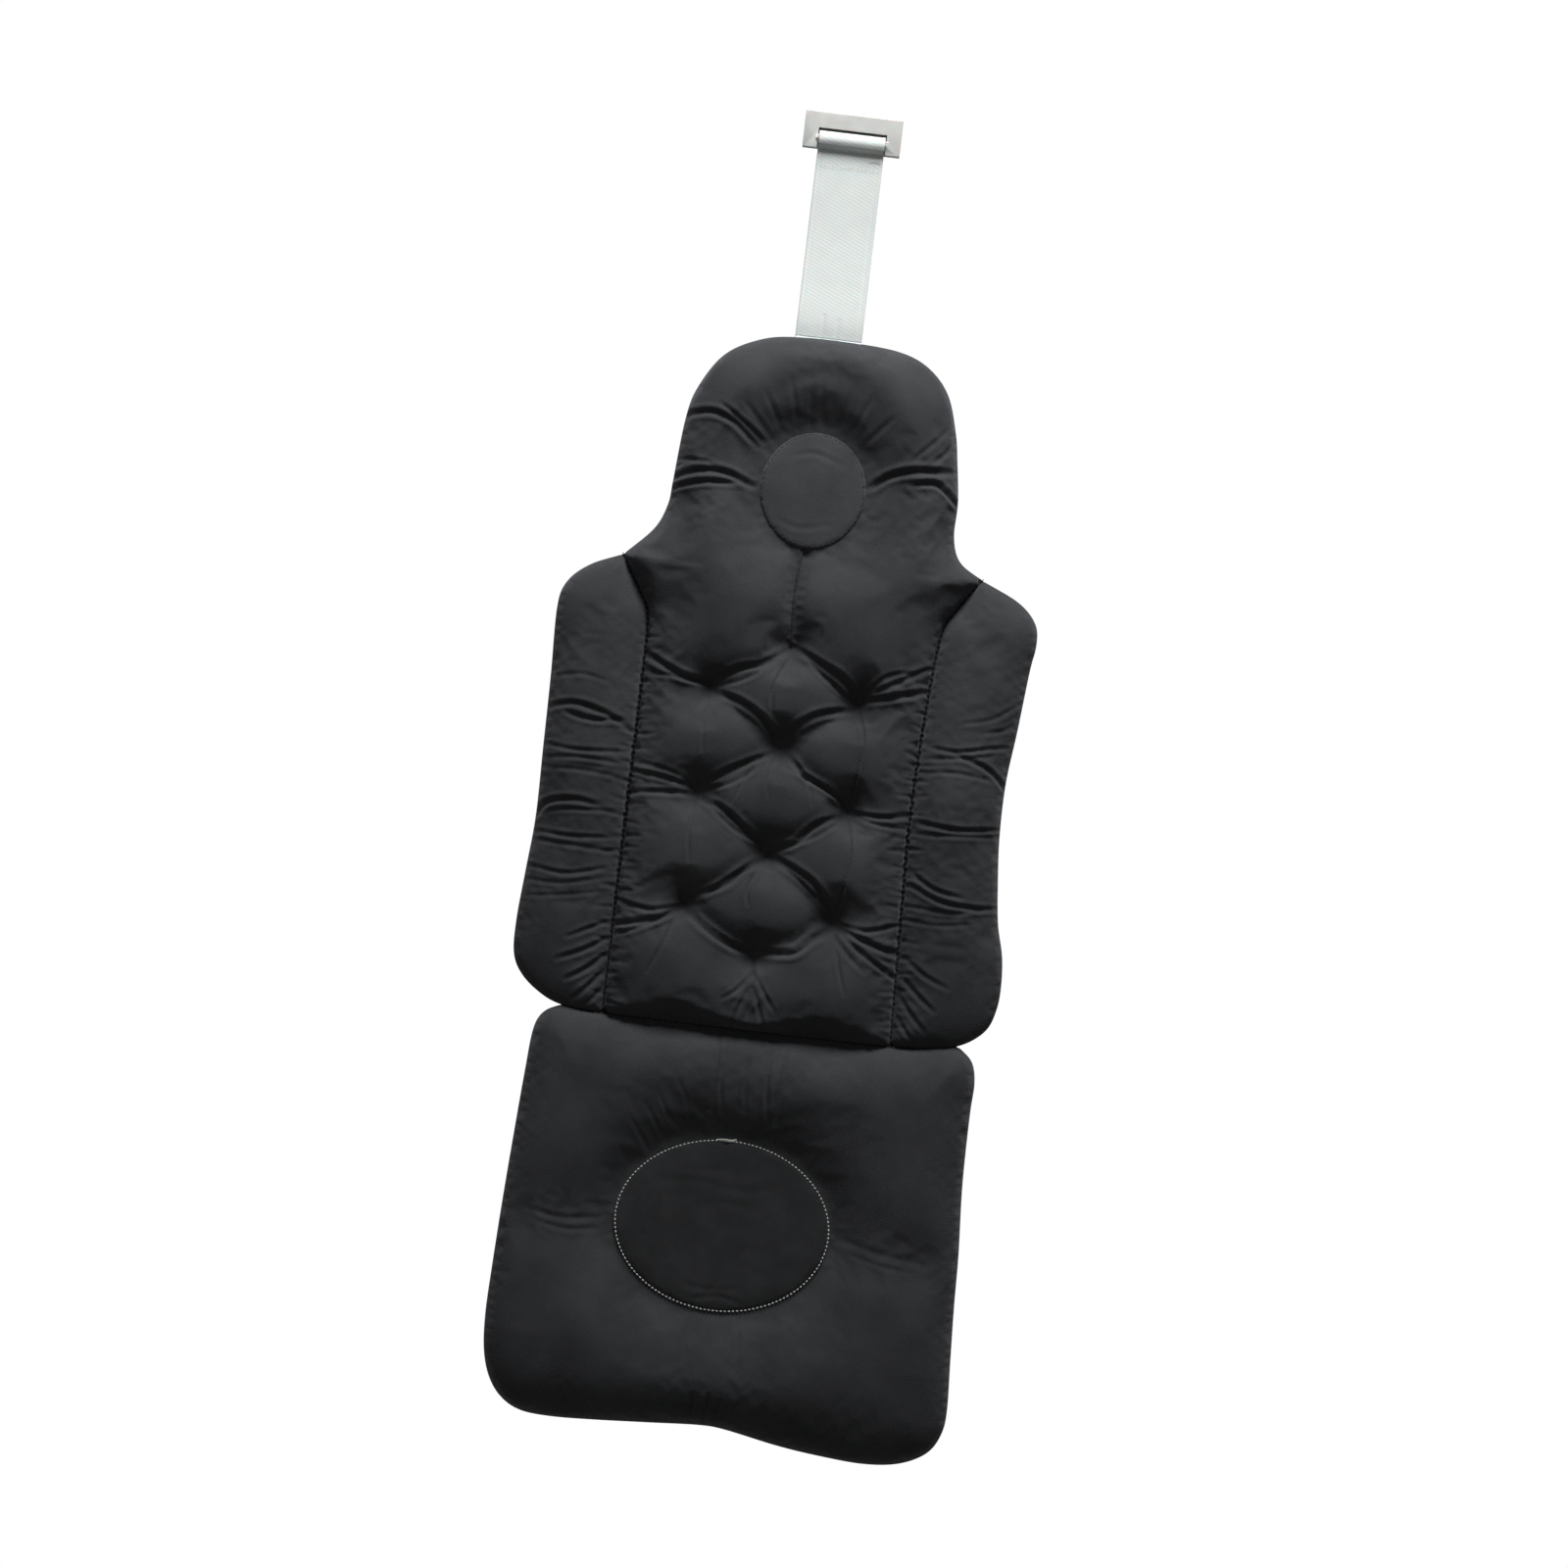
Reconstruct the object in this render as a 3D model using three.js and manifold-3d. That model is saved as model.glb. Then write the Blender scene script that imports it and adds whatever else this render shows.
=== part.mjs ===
// Full-length baby-bath pillow: a head ring, a chest, a tufted back with a stuffed bolster down each
// side, a seat that folds on a sewn seam, and a webbing strap with a moulded hook for the rim of a tub.
// Millimetres, +Z up. It lies on its back on the floor with the head towards +Y, and the origin is
// at the bottom centre of its box. Until the last lines the pieces are placed from the middle of the
// seat seam, on the floor.
import * as THREE from 'three';
import { mergeVertices } from 'three/addons/utils/BufferGeometryUtils.js';
import Module from 'manifold-3d';

const wasm = await Module();
wasm.setup();

// Driving dimensions of the pads
const backLength = 395.5;
const backHalfWidth = 138;
const chamberHalfWidth = 82.5;
const seatLength = 237.5;
const seatHalfWidth = 134;
const seamHeight = 22;
const backLoft = 19.5;
const bolsterLoft = 18.5;
const seatLoft = 20.5;
const edgeRoll = 32;
const bolsterRoll = 27;
const seatRoll = 33;
const clothThickness = 2;
const layerGap = 0.3;
const fillingGap = 0.5;
const fillingRearGap = 2;
const fillingDepthShare = 0.68;
const rearFullnessShare = 1.3;
const drawInShare = 0.45;
const seamHalfGap = 1.75;
const seamTapeHalfWidth = 1.4;
const seamTapeThickness = 1.2;

// Tufts: a middle column of four and a column of three each side, staggered by half a pitch, from
// the seat seam up to the plain chest
const middleTuftCount = 4;
const sideTuftCount = 3;
const firstTuftY = 43.5;
const chestAndHeadLength = 175;
const tuftColumnX = 41.25;
const tuftRadius = 17;
const tuftDepthShare = 0.88;
const creaseWidth = 7;
const creaseDepthShare = 0.24;
const tuftPower = 1.5;
const tieRadius = 0.7;
const tieHoleRadius = 1.2;
const knotRadius = 2.2;
const knotHeight = 1.4;
const knotNeck = 1.1;
const knotShoulderShare = 0.7;
const tieSides = 6;

// Sunk panels
const headPanelHalfWidth = 30;
const headPanelHalfLength = 33;
const headPanelWall = 21;
const seatPanelX = -1;
const seatPanelY = -111.5;
const seatPanelHalfWidth = 61.5;
const seatPanelHalfLength = 49;
const seatPanelWall = 25;
const panelFloorShare = 0.2;
const panelThickness = 1.2;
const panelBorder = 1.5;
const panelStitchRadius = 0.5;

// Strap and hook
const strapX = -0.5;
const strapWidth = 38;
const strapThickness = 1.3;
const strapReach = 114;
const strapPivotGap = 1.5;
const strapSewnLength = 14;
const strapSewnGap = 0.9;
const strapMeetReach = 10;
const strapMeetHeight = 8.2;
const strapTurnIn = 1;
const tailLength = 10;
const loopStitchWidth = 1.6;
const loopStitchThickness = 0.5;
const barRadius = 2.5;
const barSides = 20;
const hookWidth = 56;
const hookWall = 3.2;
const hookLipWall = 3;
const hookTop = 16;
const hookEarReach = 5.5;
const hookLipReach = 4;
const hookThroat = 12;
const hookBend = 5;
const hookCorner = 1.6;
const hookWindowTop = 6;
const hookWindowClearance = 1.2;
const hookBendSteps = 6;
const hookLeadIn = 3.5;
const cutOverrun = 5;
const weldTolerance = 1e-4;

// Heights and places that follow
const coverFoot = layerGap / 2;
const tuftPitch = (backLength - chestAndHeadLength - firstTuftY) / (middleTuftCount - 1);
const strapPivotY = backLength + strapPivotGap;
const barHeight = hookWall / 2 + hookThroat + hookLipWall;
const barY = strapPivotY + strapReach;

// Finishes
const finish = (color, roughness) => new THREE.MeshStandardMaterial({ color, roughness, metalness: 0 });
const knitCloth = finish(0x3a3b3e, 0.95);
const panelCloth = finish(0x2a2b2e, 0.9);
const polyesterFibre = finish(0xe9e9e4, 1);
const blackThread = finish(0x1d1e20, 0.8);
const paleThread = finish(0xd8dad6, 0.7);
const satinWebbing = finish(0xe3e7e5, 0.45);
const mouldedWhite = finish(0xdedfdb, 0.35);

const model = new THREE.Group();

function addPiece(name, geometry, material) {
  const piece = new THREE.Mesh(geometry, material);
  piece.name = name;
  model.add(piece);
}

// Solids for cutting and joining
function toSolid(geometry) {
  const bare = geometry.clone();
  bare.deleteAttribute('normal');
  bare.deleteAttribute('uv');
  const merged = mergeVertices(bare, weldTolerance);
  const vertProperties = new Float32Array(merged.attributes.position.array);
  const triVerts = new Uint32Array(merged.index.array);
  return new wasm.Manifold(new wasm.Mesh({ numProp: 3, vertProperties, triVerts }));
}

function toGeometry(solid) {
  const mesh = solid.getMesh();
  const geometry = new THREE.BufferGeometry();
  geometry.setAttribute('position', new THREE.BufferAttribute(mesh.vertProperties, 3));
  geometry.setIndex(new THREE.BufferAttribute(mesh.triVerts, 1));
  return geometry;
}

const cut = (geometry, tools) => toGeometry(
  tools.reduce((solid, tool) => solid.subtract(toSolid(tool)), toSolid(geometry)));

// An outline drawn in the Y and Z of the model, pulled along X about a middle
function extrudeAcross(shape, width, middleX) {
  const geometry = new THREE.ExtrudeGeometry(shape,
    { depth: width, bevelEnabled: false, curveSegments: hookBendSteps });
  const turn = new THREE.Matrix4().makeBasis(
    new THREE.Vector3(0, 1, 0), new THREE.Vector3(0, 0, 1), new THREE.Vector3(1, 0, 0));
  geometry.applyMatrix4(turn);
  geometry.translate(middleX - width / 2, 0, 0);
  return geometry;
}

// Plan helpers
const scaled = (shares, width, length) => shares.map(([x, y]) => new THREE.Vector2(x * width, y * length));

function distanceToSegment(point, from, to) {
  const along = to.clone().sub(from);
  const share = THREE.MathUtils.clamp(point.clone().sub(from).dot(along) / along.lengthSq(), 0, 1);
  return point.distanceTo(from.clone().addScaledVector(along, share));
}

function distanceToOutline(point, outline) {
  const spans = outline.map((from, i) => distanceToSegment(point, from, outline[(i + 1) % outline.length]));
  return Math.min(...spans);
}

// How full a pad is at a distance from its edge: nothing at the seam, one at the crown
const roll = (distance, width) => Math.sin((Math.PI / 2) * THREE.MathUtils.clamp(distance / width, 0, 1));
const dip = (distance, width) => Math.exp(-((distance / width) ** 2));

// A sheet is a flat net of points with its triangles and its border, counter-clockwise
function gridSheet(rows, height) {
  const columns = rows[0].length;
  const points = rows.flat();
  const at = (row, column) => row * columns + column;
  const triangles = [];
  for (let row = 0; row + 1 < rows.length; row += 1) {
    for (let column = 0; column + 1 < columns; column += 1) {
      const [a, b] = [at(row, column), at(row, column + 1)];
      const [c, d] = [at(row + 1, column + 1), at(row + 1, column)];
      const rising = height(points[a]) + height(points[c]) <= height(points[b]) + height(points[d]);
      triangles.push(...(rising ? [[a, b, c], [a, c, d]] : [[a, b, d], [b, c, d]]));
    }
  }
  const border = [];
  const lastRow = rows.length - 1;
  const lastColumn = columns - 1;
  for (let column = 0; column < lastColumn; column += 1) border.push(at(0, column));
  for (let row = 0; row < lastRow; row += 1) border.push(at(row, lastColumn));
  for (let column = lastColumn; column > 0; column -= 1) border.push(at(lastRow, column));
  for (let row = lastRow; row > 0; row -= 1) border.push(at(row, 0));
  return { points, triangles, border };
}

function ringSheet(rings, centre) {
  const count = rings[0].length;
  const points = [...rings.flat(), centre];
  const triangles = [];
  for (let ring = 0; ring + 1 < rings.length; ring += 1) {
    for (let i = 0; i < count; i += 1) {
      const [a, b] = [ring * count + i, ring * count + ((i + 1) % count)];
      triangles.push([a, b, b + count], [a, b + count, a + count]);
    }
  }
  const last = (rings.length - 1) * count;
  for (let i = 0; i < count; i += 1) triangles.push([last + i, last + ((i + 1) % count), points.length - 1]);
  return { points, triangles, border: rings[0].map((_, i) => i) };
}

// The closed solid between two surfaces over one sheet
function slab(sheet, top, bottom) {
  const count = sheet.points.length;
  const position = [];
  for (const surface of [top, bottom]) {
    sheet.points.forEach((point, i) => position.push(point.x, point.y, surface(point, i)));
  }
  const index = [];
  for (const [a, b, c] of sheet.triangles) index.push(a, b, c, a + count, c + count, b + count);
  sheet.border.forEach((a, i) => {
    const b = sheet.border[(i + 1) % sheet.border.length];
    index.push(a, a + count, b + count, a, b + count, b);
  });
  const geometry = new THREE.BufferGeometry();
  geometry.setAttribute('position', new THREE.Float32BufferAttribute(position, 3));
  geometry.setIndex(index);
  return geometry;
}

// The same sheet with its border drawn in towards the next points, for the filling
function drawnIn(sheet, share) {
  const onBorder = new Set(sheet.border);
  const points = sheet.points.map((point) => point.clone());
  for (const a of sheet.border) {
    const inner = new Set();
    for (const triangle of sheet.triangles) {
      if (triangle.includes(a)) triangle.filter((b) => !onBorder.has(b)).forEach((b) => inner.add(b));
    }
    const target = new THREE.Vector2();
    inner.forEach((b) => target.addScaledVector(sheet.points[b], 1 / inner.size));
    if (inner.size) points[a].lerp(target, share);
  }
  for (const a of sheet.border) {
    const i = sheet.border.indexOf(a);
    const before = sheet.border[(i + sheet.border.length - 1) % sheet.border.length];
    const after = sheet.border[(i + 1) % sheet.border.length];
    const moved = points[a].distanceTo(sheet.points[a]) > 0;
    if (!moved) points[a].copy(points[before]).add(points[after]).multiplyScalar(1 / 2);
  }
  return { ...sheet, points };
}

// Front cover, rear cover and filling of one stuffed chamber. The pad's own weight flattens its
// underside where it lies on the floor.
const coverInside = (height) => (point) => seamHeight + coverFoot + height(point);
const coverOutside = (height) => (point) => coverInside(height)(point) + clothThickness;
const rearInside = (height) => (point) => Math.max(
  clothThickness, seamHeight - coverFoot - rearFullnessShare * height(point));
const rearOutside = (height) => (point) => rearInside(height)(point) - clothThickness;

function filling(sheet, height) {
  const core = drawnIn(sheet, drawInShare);
  const edge = new Set(sheet.border);
  const foot = fillingGap / 2;
  const top = (point, i) => (edge.has(i) ? seamHeight + foot : coverInside(height)(point) - fillingGap);
  const bottom = (point, i) => {
    const depth = fillingDepthShare * (seamHeight - rearInside(height)(point)) - fillingRearGap;
    return seamHeight - (edge.has(i) ? foot : Math.max(foot, depth));
  };
  return slab(core, top, bottom);
}

function addChamber(name, sheet, rearSheet, height, cutters) {
  addPiece(`${name}_front_cover`, cut(slab(sheet, coverOutside(height), coverInside(height)), cutters), knitCloth);
  addPiece(`${name}_rear_cover`, cut(slab(rearSheet, rearInside(height), rearOutside(height)), cutters), knitCloth);
  addPiece(`${name}_filling`, cut(filling(sheet, height), cutters), polyesterFibre);
}

// Outlines, as shares of the half width and the length of what they bound
const leftStations = [
  [-1, 0], [-1, 0.11], [-1, 0.5575], [-1, 0.575], [-1.236, 0.661], [-1.042, 0.703], [-0.964, 0.75],
  [-0.945, 0.7826], [-0.92, 0.865], [-0.885, 0.904], [-0.76, 0.953],
];
const rightStations = [
  [1, 0], [1, 0.11], [1, 0.5575], [1, 0.582], [1.249, 0.684], [1.091, 0.703], [1.024, 0.738],
  [1.018, 0.7826], [0.97, 0.853], [0.945, 0.891], [0.86, 0.946],
];
const leftBolsterShares = [
  [-0.783, 0.009], [-0.855, 0.0165], [-0.942, 0.039], [-0.993, 0.07], [-1, 0.12], [-0.986, 0.196],
  [-0.971, 0.272], [-0.978, 0.474], [-0.986, 0.575], [-0.957, 0.613], [-0.87, 0.641], [-0.768, 0.656],
];
const rightBolsterShares = [
  [0.86, 0.0105], [0.978, 0.037], [1.014, 0.07], [1.022, 0.107], [1.014, 0.145], [0.978, 0.196],
  [0.957, 0.26], [0.942, 0.322], [0.942, 0.398], [0.964, 0.474], [0.986, 0.563], [1, 0.6],
  [0.986, 0.631], [0.906, 0.656], [0.783, 0.68],
];
const seatShares = [
  [-0.806, -0.009], [-0.873, -0.021], [-0.903, -0.055], [-0.933, -0.305], [-0.948, -0.474],
  [-0.963, -0.747], [-0.948, -0.832], [-0.918, -0.895], [-0.858, -0.945], [-0.769, -0.971],
  [-0.634, -0.975], [-0.224, -0.962], [0, -0.954], [0.112, -0.958], [0.336, -0.981], [0.522, -0.992],
  [0.709, -1], [0.858, -0.987], [0.97, -0.958], [1.022, -0.912], [1.037, -0.853], [1.015, -0.6],
  [1.007, -0.474], [0.978, -0.305], [0.985, -0.137], [0.993, -0.074], [0.97, -0.025], [0.903, -0.009],
];

// Middle chamber: a row of points for each step along its two sides, drawn to the head panel's rim
const frontStepCounts = [1, 4, 18, 1, 2, 1, 1, 1, 2, 1, 2];
const rearStepCounts = [1, 3, 12, 1, 2, 1, 1, 1, 2, 1, 2];
const middleColumns = 12;
const panelCells = 2;
const panelPullReach = 2;
const shoulderStation = 4;
const panelStation = 7;
const crownStartShare = 0.8;
const crownPower = 5;
const headPanelCentre = new THREE.Vector2(0, leftStations[panelStation][1] * backLength);
const headRim = new THREE.Vector2(headPanelHalfWidth + panelBorder, headPanelHalfLength + panelBorder);

function sidePoints(stations, stepCounts, inward) {
  const points = [];
  stations.forEach(([x, y], i) => {
    const shift = i <= shoulderStation ? inward * seamHalfGap : 0;
    const end = new THREE.Vector2(x * chamberHalfWidth + shift, i ? y * backLength : seamHalfGap);
    const start = i ? points[points.length - 1] : end;
    for (let step = 1; step <= stepCounts[i]; step += 1) {
      points.push(start.clone().lerp(end, step / stepCounts[i]));
    }
  });
  return points;
}

function middleGrid(stepCounts) {
  const left = sidePoints(leftStations, stepCounts, 1);
  const right = sidePoints(rightStations, stepCounts, -1);
  const panelRow = stepCounts.slice(0, panelStation + 1).reduce((sum, steps) => sum + steps) - 1;
  return left.map((leftPoint, row) => {
    const rise = Math.max(0, leftPoint.y / backLength - crownStartShare) / (1 - crownStartShare);
    const atTop = row === left.length - 1;
    return Array.from({ length: middleColumns + 1 }, (_, column) => {
      const share = column / middleColumns;
      const point = leftPoint.clone().lerp(right[row], share);
      const bulge = 1 - Math.abs(2 * share - 1) ** crownPower;
      point.y += (backLength - point.y) * bulge * (atTop ? 1 : rise ** 2);
      const across = column - middleColumns / 2;
      const along = row - panelRow;
      const reach = Math.max(Math.abs(across), Math.abs(along)) / panelCells;
      const pull = THREE.MathUtils.clamp(panelPullReach - reach, 0, 1);
      const angle = Math.atan2(along, across);
      const onRim = new THREE.Vector2(Math.cos(angle), Math.sin(angle)).multiply(headRim).multiplyScalar(reach);
      return point.lerp(onRim.add(headPanelCentre), pull);
    });
  });
}

const middleRows = middleGrid(frontStepCounts);
const rearRows = middleGrid(rearStepCounts);

const tufts = [];
for (let i = 0; i < middleTuftCount; i += 1) tufts.push(new THREE.Vector2(0, firstTuftY + i * tuftPitch));
for (let i = 0; i < sideTuftCount; i += 1) {
  for (const side of [-1, 1]) {
    tufts.push(new THREE.Vector2(side * tuftColumnX, firstTuftY + (i + 1 / 2) * tuftPitch));
  }
}
const tuftSpacing = Math.hypot(tuftColumnX, tuftPitch / 2);
const creases = [];
tufts.forEach((from, i) => {
  tufts.slice(i + 1).forEach((to) => {
    if (from.distanceTo(to) < tuftSpacing + layerGap) creases.push([from, to]);
  });
  if (from.x) creases.push([from, new THREE.Vector2(Math.sign(from.x) * chamberHalfWidth, from.y)]);
});
creases.push([tufts[middleTuftCount - 1], new THREE.Vector2(0, headPanelCentre.y - headPanelHalfLength)]);
creases.push([tufts[0], new THREE.Vector2(0, 0)]);

const outlineOf = (sheet) => sheet.border.map((i) => sheet.points[i]);
const middleOutline = outlineOf(gridSheet(middleRows, () => 0));

function headPanelDistance(point) {
  const share = point.clone().sub(headPanelCentre).divide(headRim).length();
  return Math.max(0, share - 1 - layerGap / headPanelHalfWidth) * headPanelHalfWidth;
}

function backHeight(point) {
  let share = roll(distanceToOutline(point, middleOutline), edgeRoll);
  for (const tuft of tufts) {
    share *= 1 - tuftDepthShare * Math.exp(-((point.distanceTo(tuft) / tuftRadius) ** tuftPower));
  }
  const nearest = Math.min(...creases.map(([from, to]) => distanceToSegment(point, from, to)));
  share *= 1 - creaseDepthShare * dip(nearest, creaseWidth);
  share *= panelFloorShare + (1 - panelFloorShare) * roll(headPanelDistance(point), headPanelWall);
  return backLoft * share;
}

const middleSheet = gridSheet(middleRows, backHeight);
const middleRearSheet = gridSheet(rearRows, backHeight);

// Thread ties: a post through the pad with a knot in the pit at each end
function tieHole(tuft) {
  const hole = new THREE.CylinderGeometry(tieHoleRadius, tieHoleRadius, 2 * seamHeight + cutOverrun, tieSides);
  hole.rotateX(Math.PI / 2);
  hole.translate(tuft.x, tuft.y, seamHeight);
  return hole;
}
const tieHoles = tufts.map(tieHole);

function knotProfile(pit) {
  const shoulder = pit + knotNeck + knotRadius - tieRadius;
  return [
    [tieRadius, pit + knotNeck],
    [knotRadius, shoulder],
    [knotRadius * knotShoulderShare, shoulder + knotHeight * knotShoulderShare],
    [0, shoulder + knotHeight],
  ];
}

function tuftTie(tuft) {
  const above = knotProfile(coverOutside(backHeight)(tuft) - seamHeight);
  const below = knotProfile(seamHeight - rearOutside(backHeight)(tuft)).reverse();
  const profile = [
    ...below.map(([radius, depth]) => new THREE.Vector2(radius, -depth)),
    ...above.map(([radius, height]) => new THREE.Vector2(radius, height)),
  ];
  const tie = new THREE.LatheGeometry(profile, tieSides);
  tie.rotateX(Math.PI / 2);
  tie.translate(tuft.x, tuft.y, seamHeight);
  return tie;
}

// The strap's sewn-in end lies in a notch in both covers and a pocket in the filling
const box = (width, length, height, x, y, z) => new THREE.BoxGeometry(width, length, height).translate(x, y, z);
const sewnEndY = strapPivotY - strapSewnGap;
const sewnEnd = box(strapWidth, strapSewnLength, strapThickness,
  strapX, sewnEndY - strapSewnLength / 2, seamHeight);
const pocketLength = strapSewnLength + 2 * layerGap;
const pocket = box(strapWidth + 2 * layerGap, pocketLength, strapThickness + 2 * layerGap,
  strapX, sewnEndY - strapSewnLength / 2, seamHeight);

addChamber('back', middleSheet, middleRearSheet, backHeight, [...tieHoles, pocket]);
tufts.forEach((tuft, i) => {
  addPiece(`tuft_tie_${String(i + 1).padStart(2, '0')}`, tuftTie(tuft), blackThread);
});
addPiece('strap_sewn_end', sewnEnd, satinWebbing);

// Bolsters: long stuffed tubes from the seat seam to the shoulder, on the far side of a sewn seam
const bolsterStepCounts = [1, 12, 2];
const seamStations = [0, 3, 4];
const bolsterAcrossShares = [0, 0.2, 0.5, 0.8, 1];

function bolsterSheet(side, stations, outerShares) {
  const inner = [];
  seamStations.map((i) => stations[i]).forEach(([x, y], i) => {
    const end = new THREE.Vector2(x * chamberHalfWidth + side * seamHalfGap, i ? y * backLength : seamHalfGap);
    const start = i ? inner[inner.length - 1] : end;
    for (let step = 1; step <= bolsterStepCounts[i]; step += 1) {
      inner.push(start.clone().lerp(end, step / bolsterStepCounts[i]));
    }
  });
  const outer = new THREE.SplineCurve(scaled(outerShares, backHalfWidth, backLength))
    .getSpacedPoints(inner.length - 1);
  const rows = inner.map((from, i) => {
    const across = bolsterAcrossShares.map((share) => from.clone().lerp(outer[i], share));
    return side < 0 ? across.reverse() : across;
  });
  return gridSheet(rows, () => 0);
}

for (const [name, side, stations, shares] of [
  ['left_bolster', -1, leftStations, leftBolsterShares],
  ['right_bolster', 1, rightStations, rightBolsterShares],
]) {
  const sheet = bolsterSheet(side, stations, shares);
  const outline = outlineOf(sheet);
  const height = (point) => bolsterLoft * roll(distanceToOutline(point, outline), bolsterRoll);
  addChamber(name, sheet, sheet, height, []);
}

// Seat: a stuffed ring round a sunk oval panel
const seatCount = 52;
const seatTopCount = 12;
const seatRingShares = [0, 0.13, 0.34, 0.62, 0.84, 1];
const seatRearRingShares = [0, 0.16, 0.5, 0.8, 1];
const seatPanelCentre = new THREE.Vector2(seatPanelX, seatPanelY);
const seatRim = new THREE.Vector2(seatPanelHalfWidth + panelBorder, seatPanelHalfLength + panelBorder);
const seatEdge = new THREE.SplineCurve(scaled(seatShares, seatHalfWidth, seatLength))
  .getSpacedPoints(seatCount - seatTopCount);
const [seatTopLeft, seatTopRight] = [seatEdge[0].clone(), seatEdge[seatEdge.length - 1].clone()];
for (let i = 1; i < seatTopCount; i += 1) seatEdge.push(seatTopRight.clone().lerp(seatTopLeft, i / seatTopCount));

function seatSheet(ringShares) {
  const rings = ringShares.map((share) => seatEdge.map((point) => {
    const spoke = point.clone().sub(seatPanelCentre);
    const angle = Math.atan2(spoke.y, spoke.x);
    const onRim = new THREE.Vector2(Math.cos(angle), Math.sin(angle)).multiply(seatRim).add(seatPanelCentre);
    return point.clone().lerp(onRim, share);
  }));
  return ringSheet(rings, seatPanelCentre);
}

function seatPanelDistance(point) {
  const share = point.clone().sub(seatPanelCentre).divide(seatRim).length();
  return Math.max(0, share - 1) * seatPanelHalfLength;
}

const seatHeight = (point) => seatLoft * roll(distanceToOutline(point, seatEdge), seatRoll)
  * (panelFloorShare + (1 - panelFloorShare) * roll(seatPanelDistance(point), seatPanelWall));
addChamber('seat', seatSheet(seatRingShares), seatSheet(seatRearRingShares), seatHeight, []);

// Sunk panels: flat ovals of smooth cloth on the floor of the head ring and of the seat
const panelSides = 40;
const panelHeight = seamHeight + coverFoot + clothThickness + layerGap;

function panel(centre, halfWidth, halfLength, floor) {
  const disc = new THREE.CylinderGeometry(1, 1, panelThickness, panelSides);
  disc.rotateX(Math.PI / 2);
  disc.scale(halfWidth, halfLength, 1);
  return disc.translate(centre.x, centre.y, panelHeight + floor + panelThickness / 2);
}
addPiece('head_panel', panel(headPanelCentre, headPanelHalfWidth, headPanelHalfLength,
  backLoft * panelFloorShare), panelCloth);
addPiece('seat_panel', panel(seatPanelCentre, seatPanelHalfWidth, seatPanelHalfLength,
  seatLoft * panelFloorShare), panelCloth);

// Pale thread round the seat panel
class OvalCurve extends THREE.Curve {
  getPoint(share) {
    const angle = share * 2 * Math.PI;
    return new THREE.Vector3((seatPanelHalfWidth - panelBorder) * Math.cos(angle),
      (seatPanelHalfLength - panelBorder) * Math.sin(angle), 0);
  }
}
const stitchSides = 4;
const stitching = new THREE.TubeGeometry(new OvalCurve(), 2 * panelSides, panelStitchRadius, stitchSides, true);
stitching.translate(seatPanelX, seatPanelY,
  panelHeight + seatLoft * panelFloorShare + panelThickness + layerGap + panelStitchRadius);
addPiece('seat_panel_stitching', stitching, paleThread);

// The outline of a band of one width along a line
function bandAlong(points, halfWidth) {
  const left = [];
  const right = [];
  points.forEach((point, i) => {
    const before = points[Math.max(0, i - 1)];
    const after = points[Math.min(points.length - 1, i + 1)];
    const side = after.clone().sub(before).normalize().rotateAround(new THREE.Vector2(), Math.PI / 2);
    left.push(point.clone().addScaledVector(side, halfWidth));
    right.unshift(point.clone().addScaledVector(side, -halfWidth));
  });
  return new THREE.Shape([...left, ...right]);
}

// Sewn seams: the flat strips of doubled cloth and thread that the pads fold on
function seamStrip(points) {
  const strip = new THREE.ExtrudeGeometry(bandAlong(points, seamTapeHalfWidth),
    { depth: seamTapeThickness, bevelEnabled: false });
  return strip.translate(0, 0, seamHeight - seamTapeThickness / 2);
}
const seatSeamEnds = [seatShares[0][0] * seatHalfWidth, seatShares[seatShares.length - 1][0] * seatHalfWidth];
addPiece('seat_seam', seamStrip(seatSeamEnds.map((x) => new THREE.Vector2(x, 0))), blackThread);
for (const [name, stations] of [['left', leftStations], ['right', rightStations]]) {
  const route = seamStations.map((i) => stations[i])
    .map(([x, y], i) => new THREE.Vector2(x * chamberHalfWidth, i ? y * backLength : 2 * seamHalfGap));
  addPiece(`${name}_bolster_seam`, seamStrip(route), blackThread);
}

// Strap: one length of webbing. It hangs from the seam at the head, climbs to the bar, goes over it and
// back under itself, and the tail is sewn on from below where both layers meet.
const ribbon = (points, thickness, width) => extrudeAcross(bandAlong(points, thickness / 2), width, strapX);
const loopRadius = barRadius + layerGap + strapThickness / 2;
const barMiddle = new THREE.Vector2(barY, barHeight);
const meeting = new THREE.Vector2(barY - strapMeetReach, strapMeetHeight);
const strapRunShares = [[0, 0], [0.1, 0.04], [0.3, 0.46], [0.55, 0.84], [0.8, 0.98], [1, 1]];
const strapRunSteps = 16;
const mainRun = new THREE.SplineCurve(strapRunShares.map(([along, drop]) => new THREE.Vector2(
  THREE.MathUtils.lerp(strapPivotY, meeting.x, along), THREE.MathUtils.lerp(seamHeight, meeting.y, drop),
))).getPoints(strapRunSteps);

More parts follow.
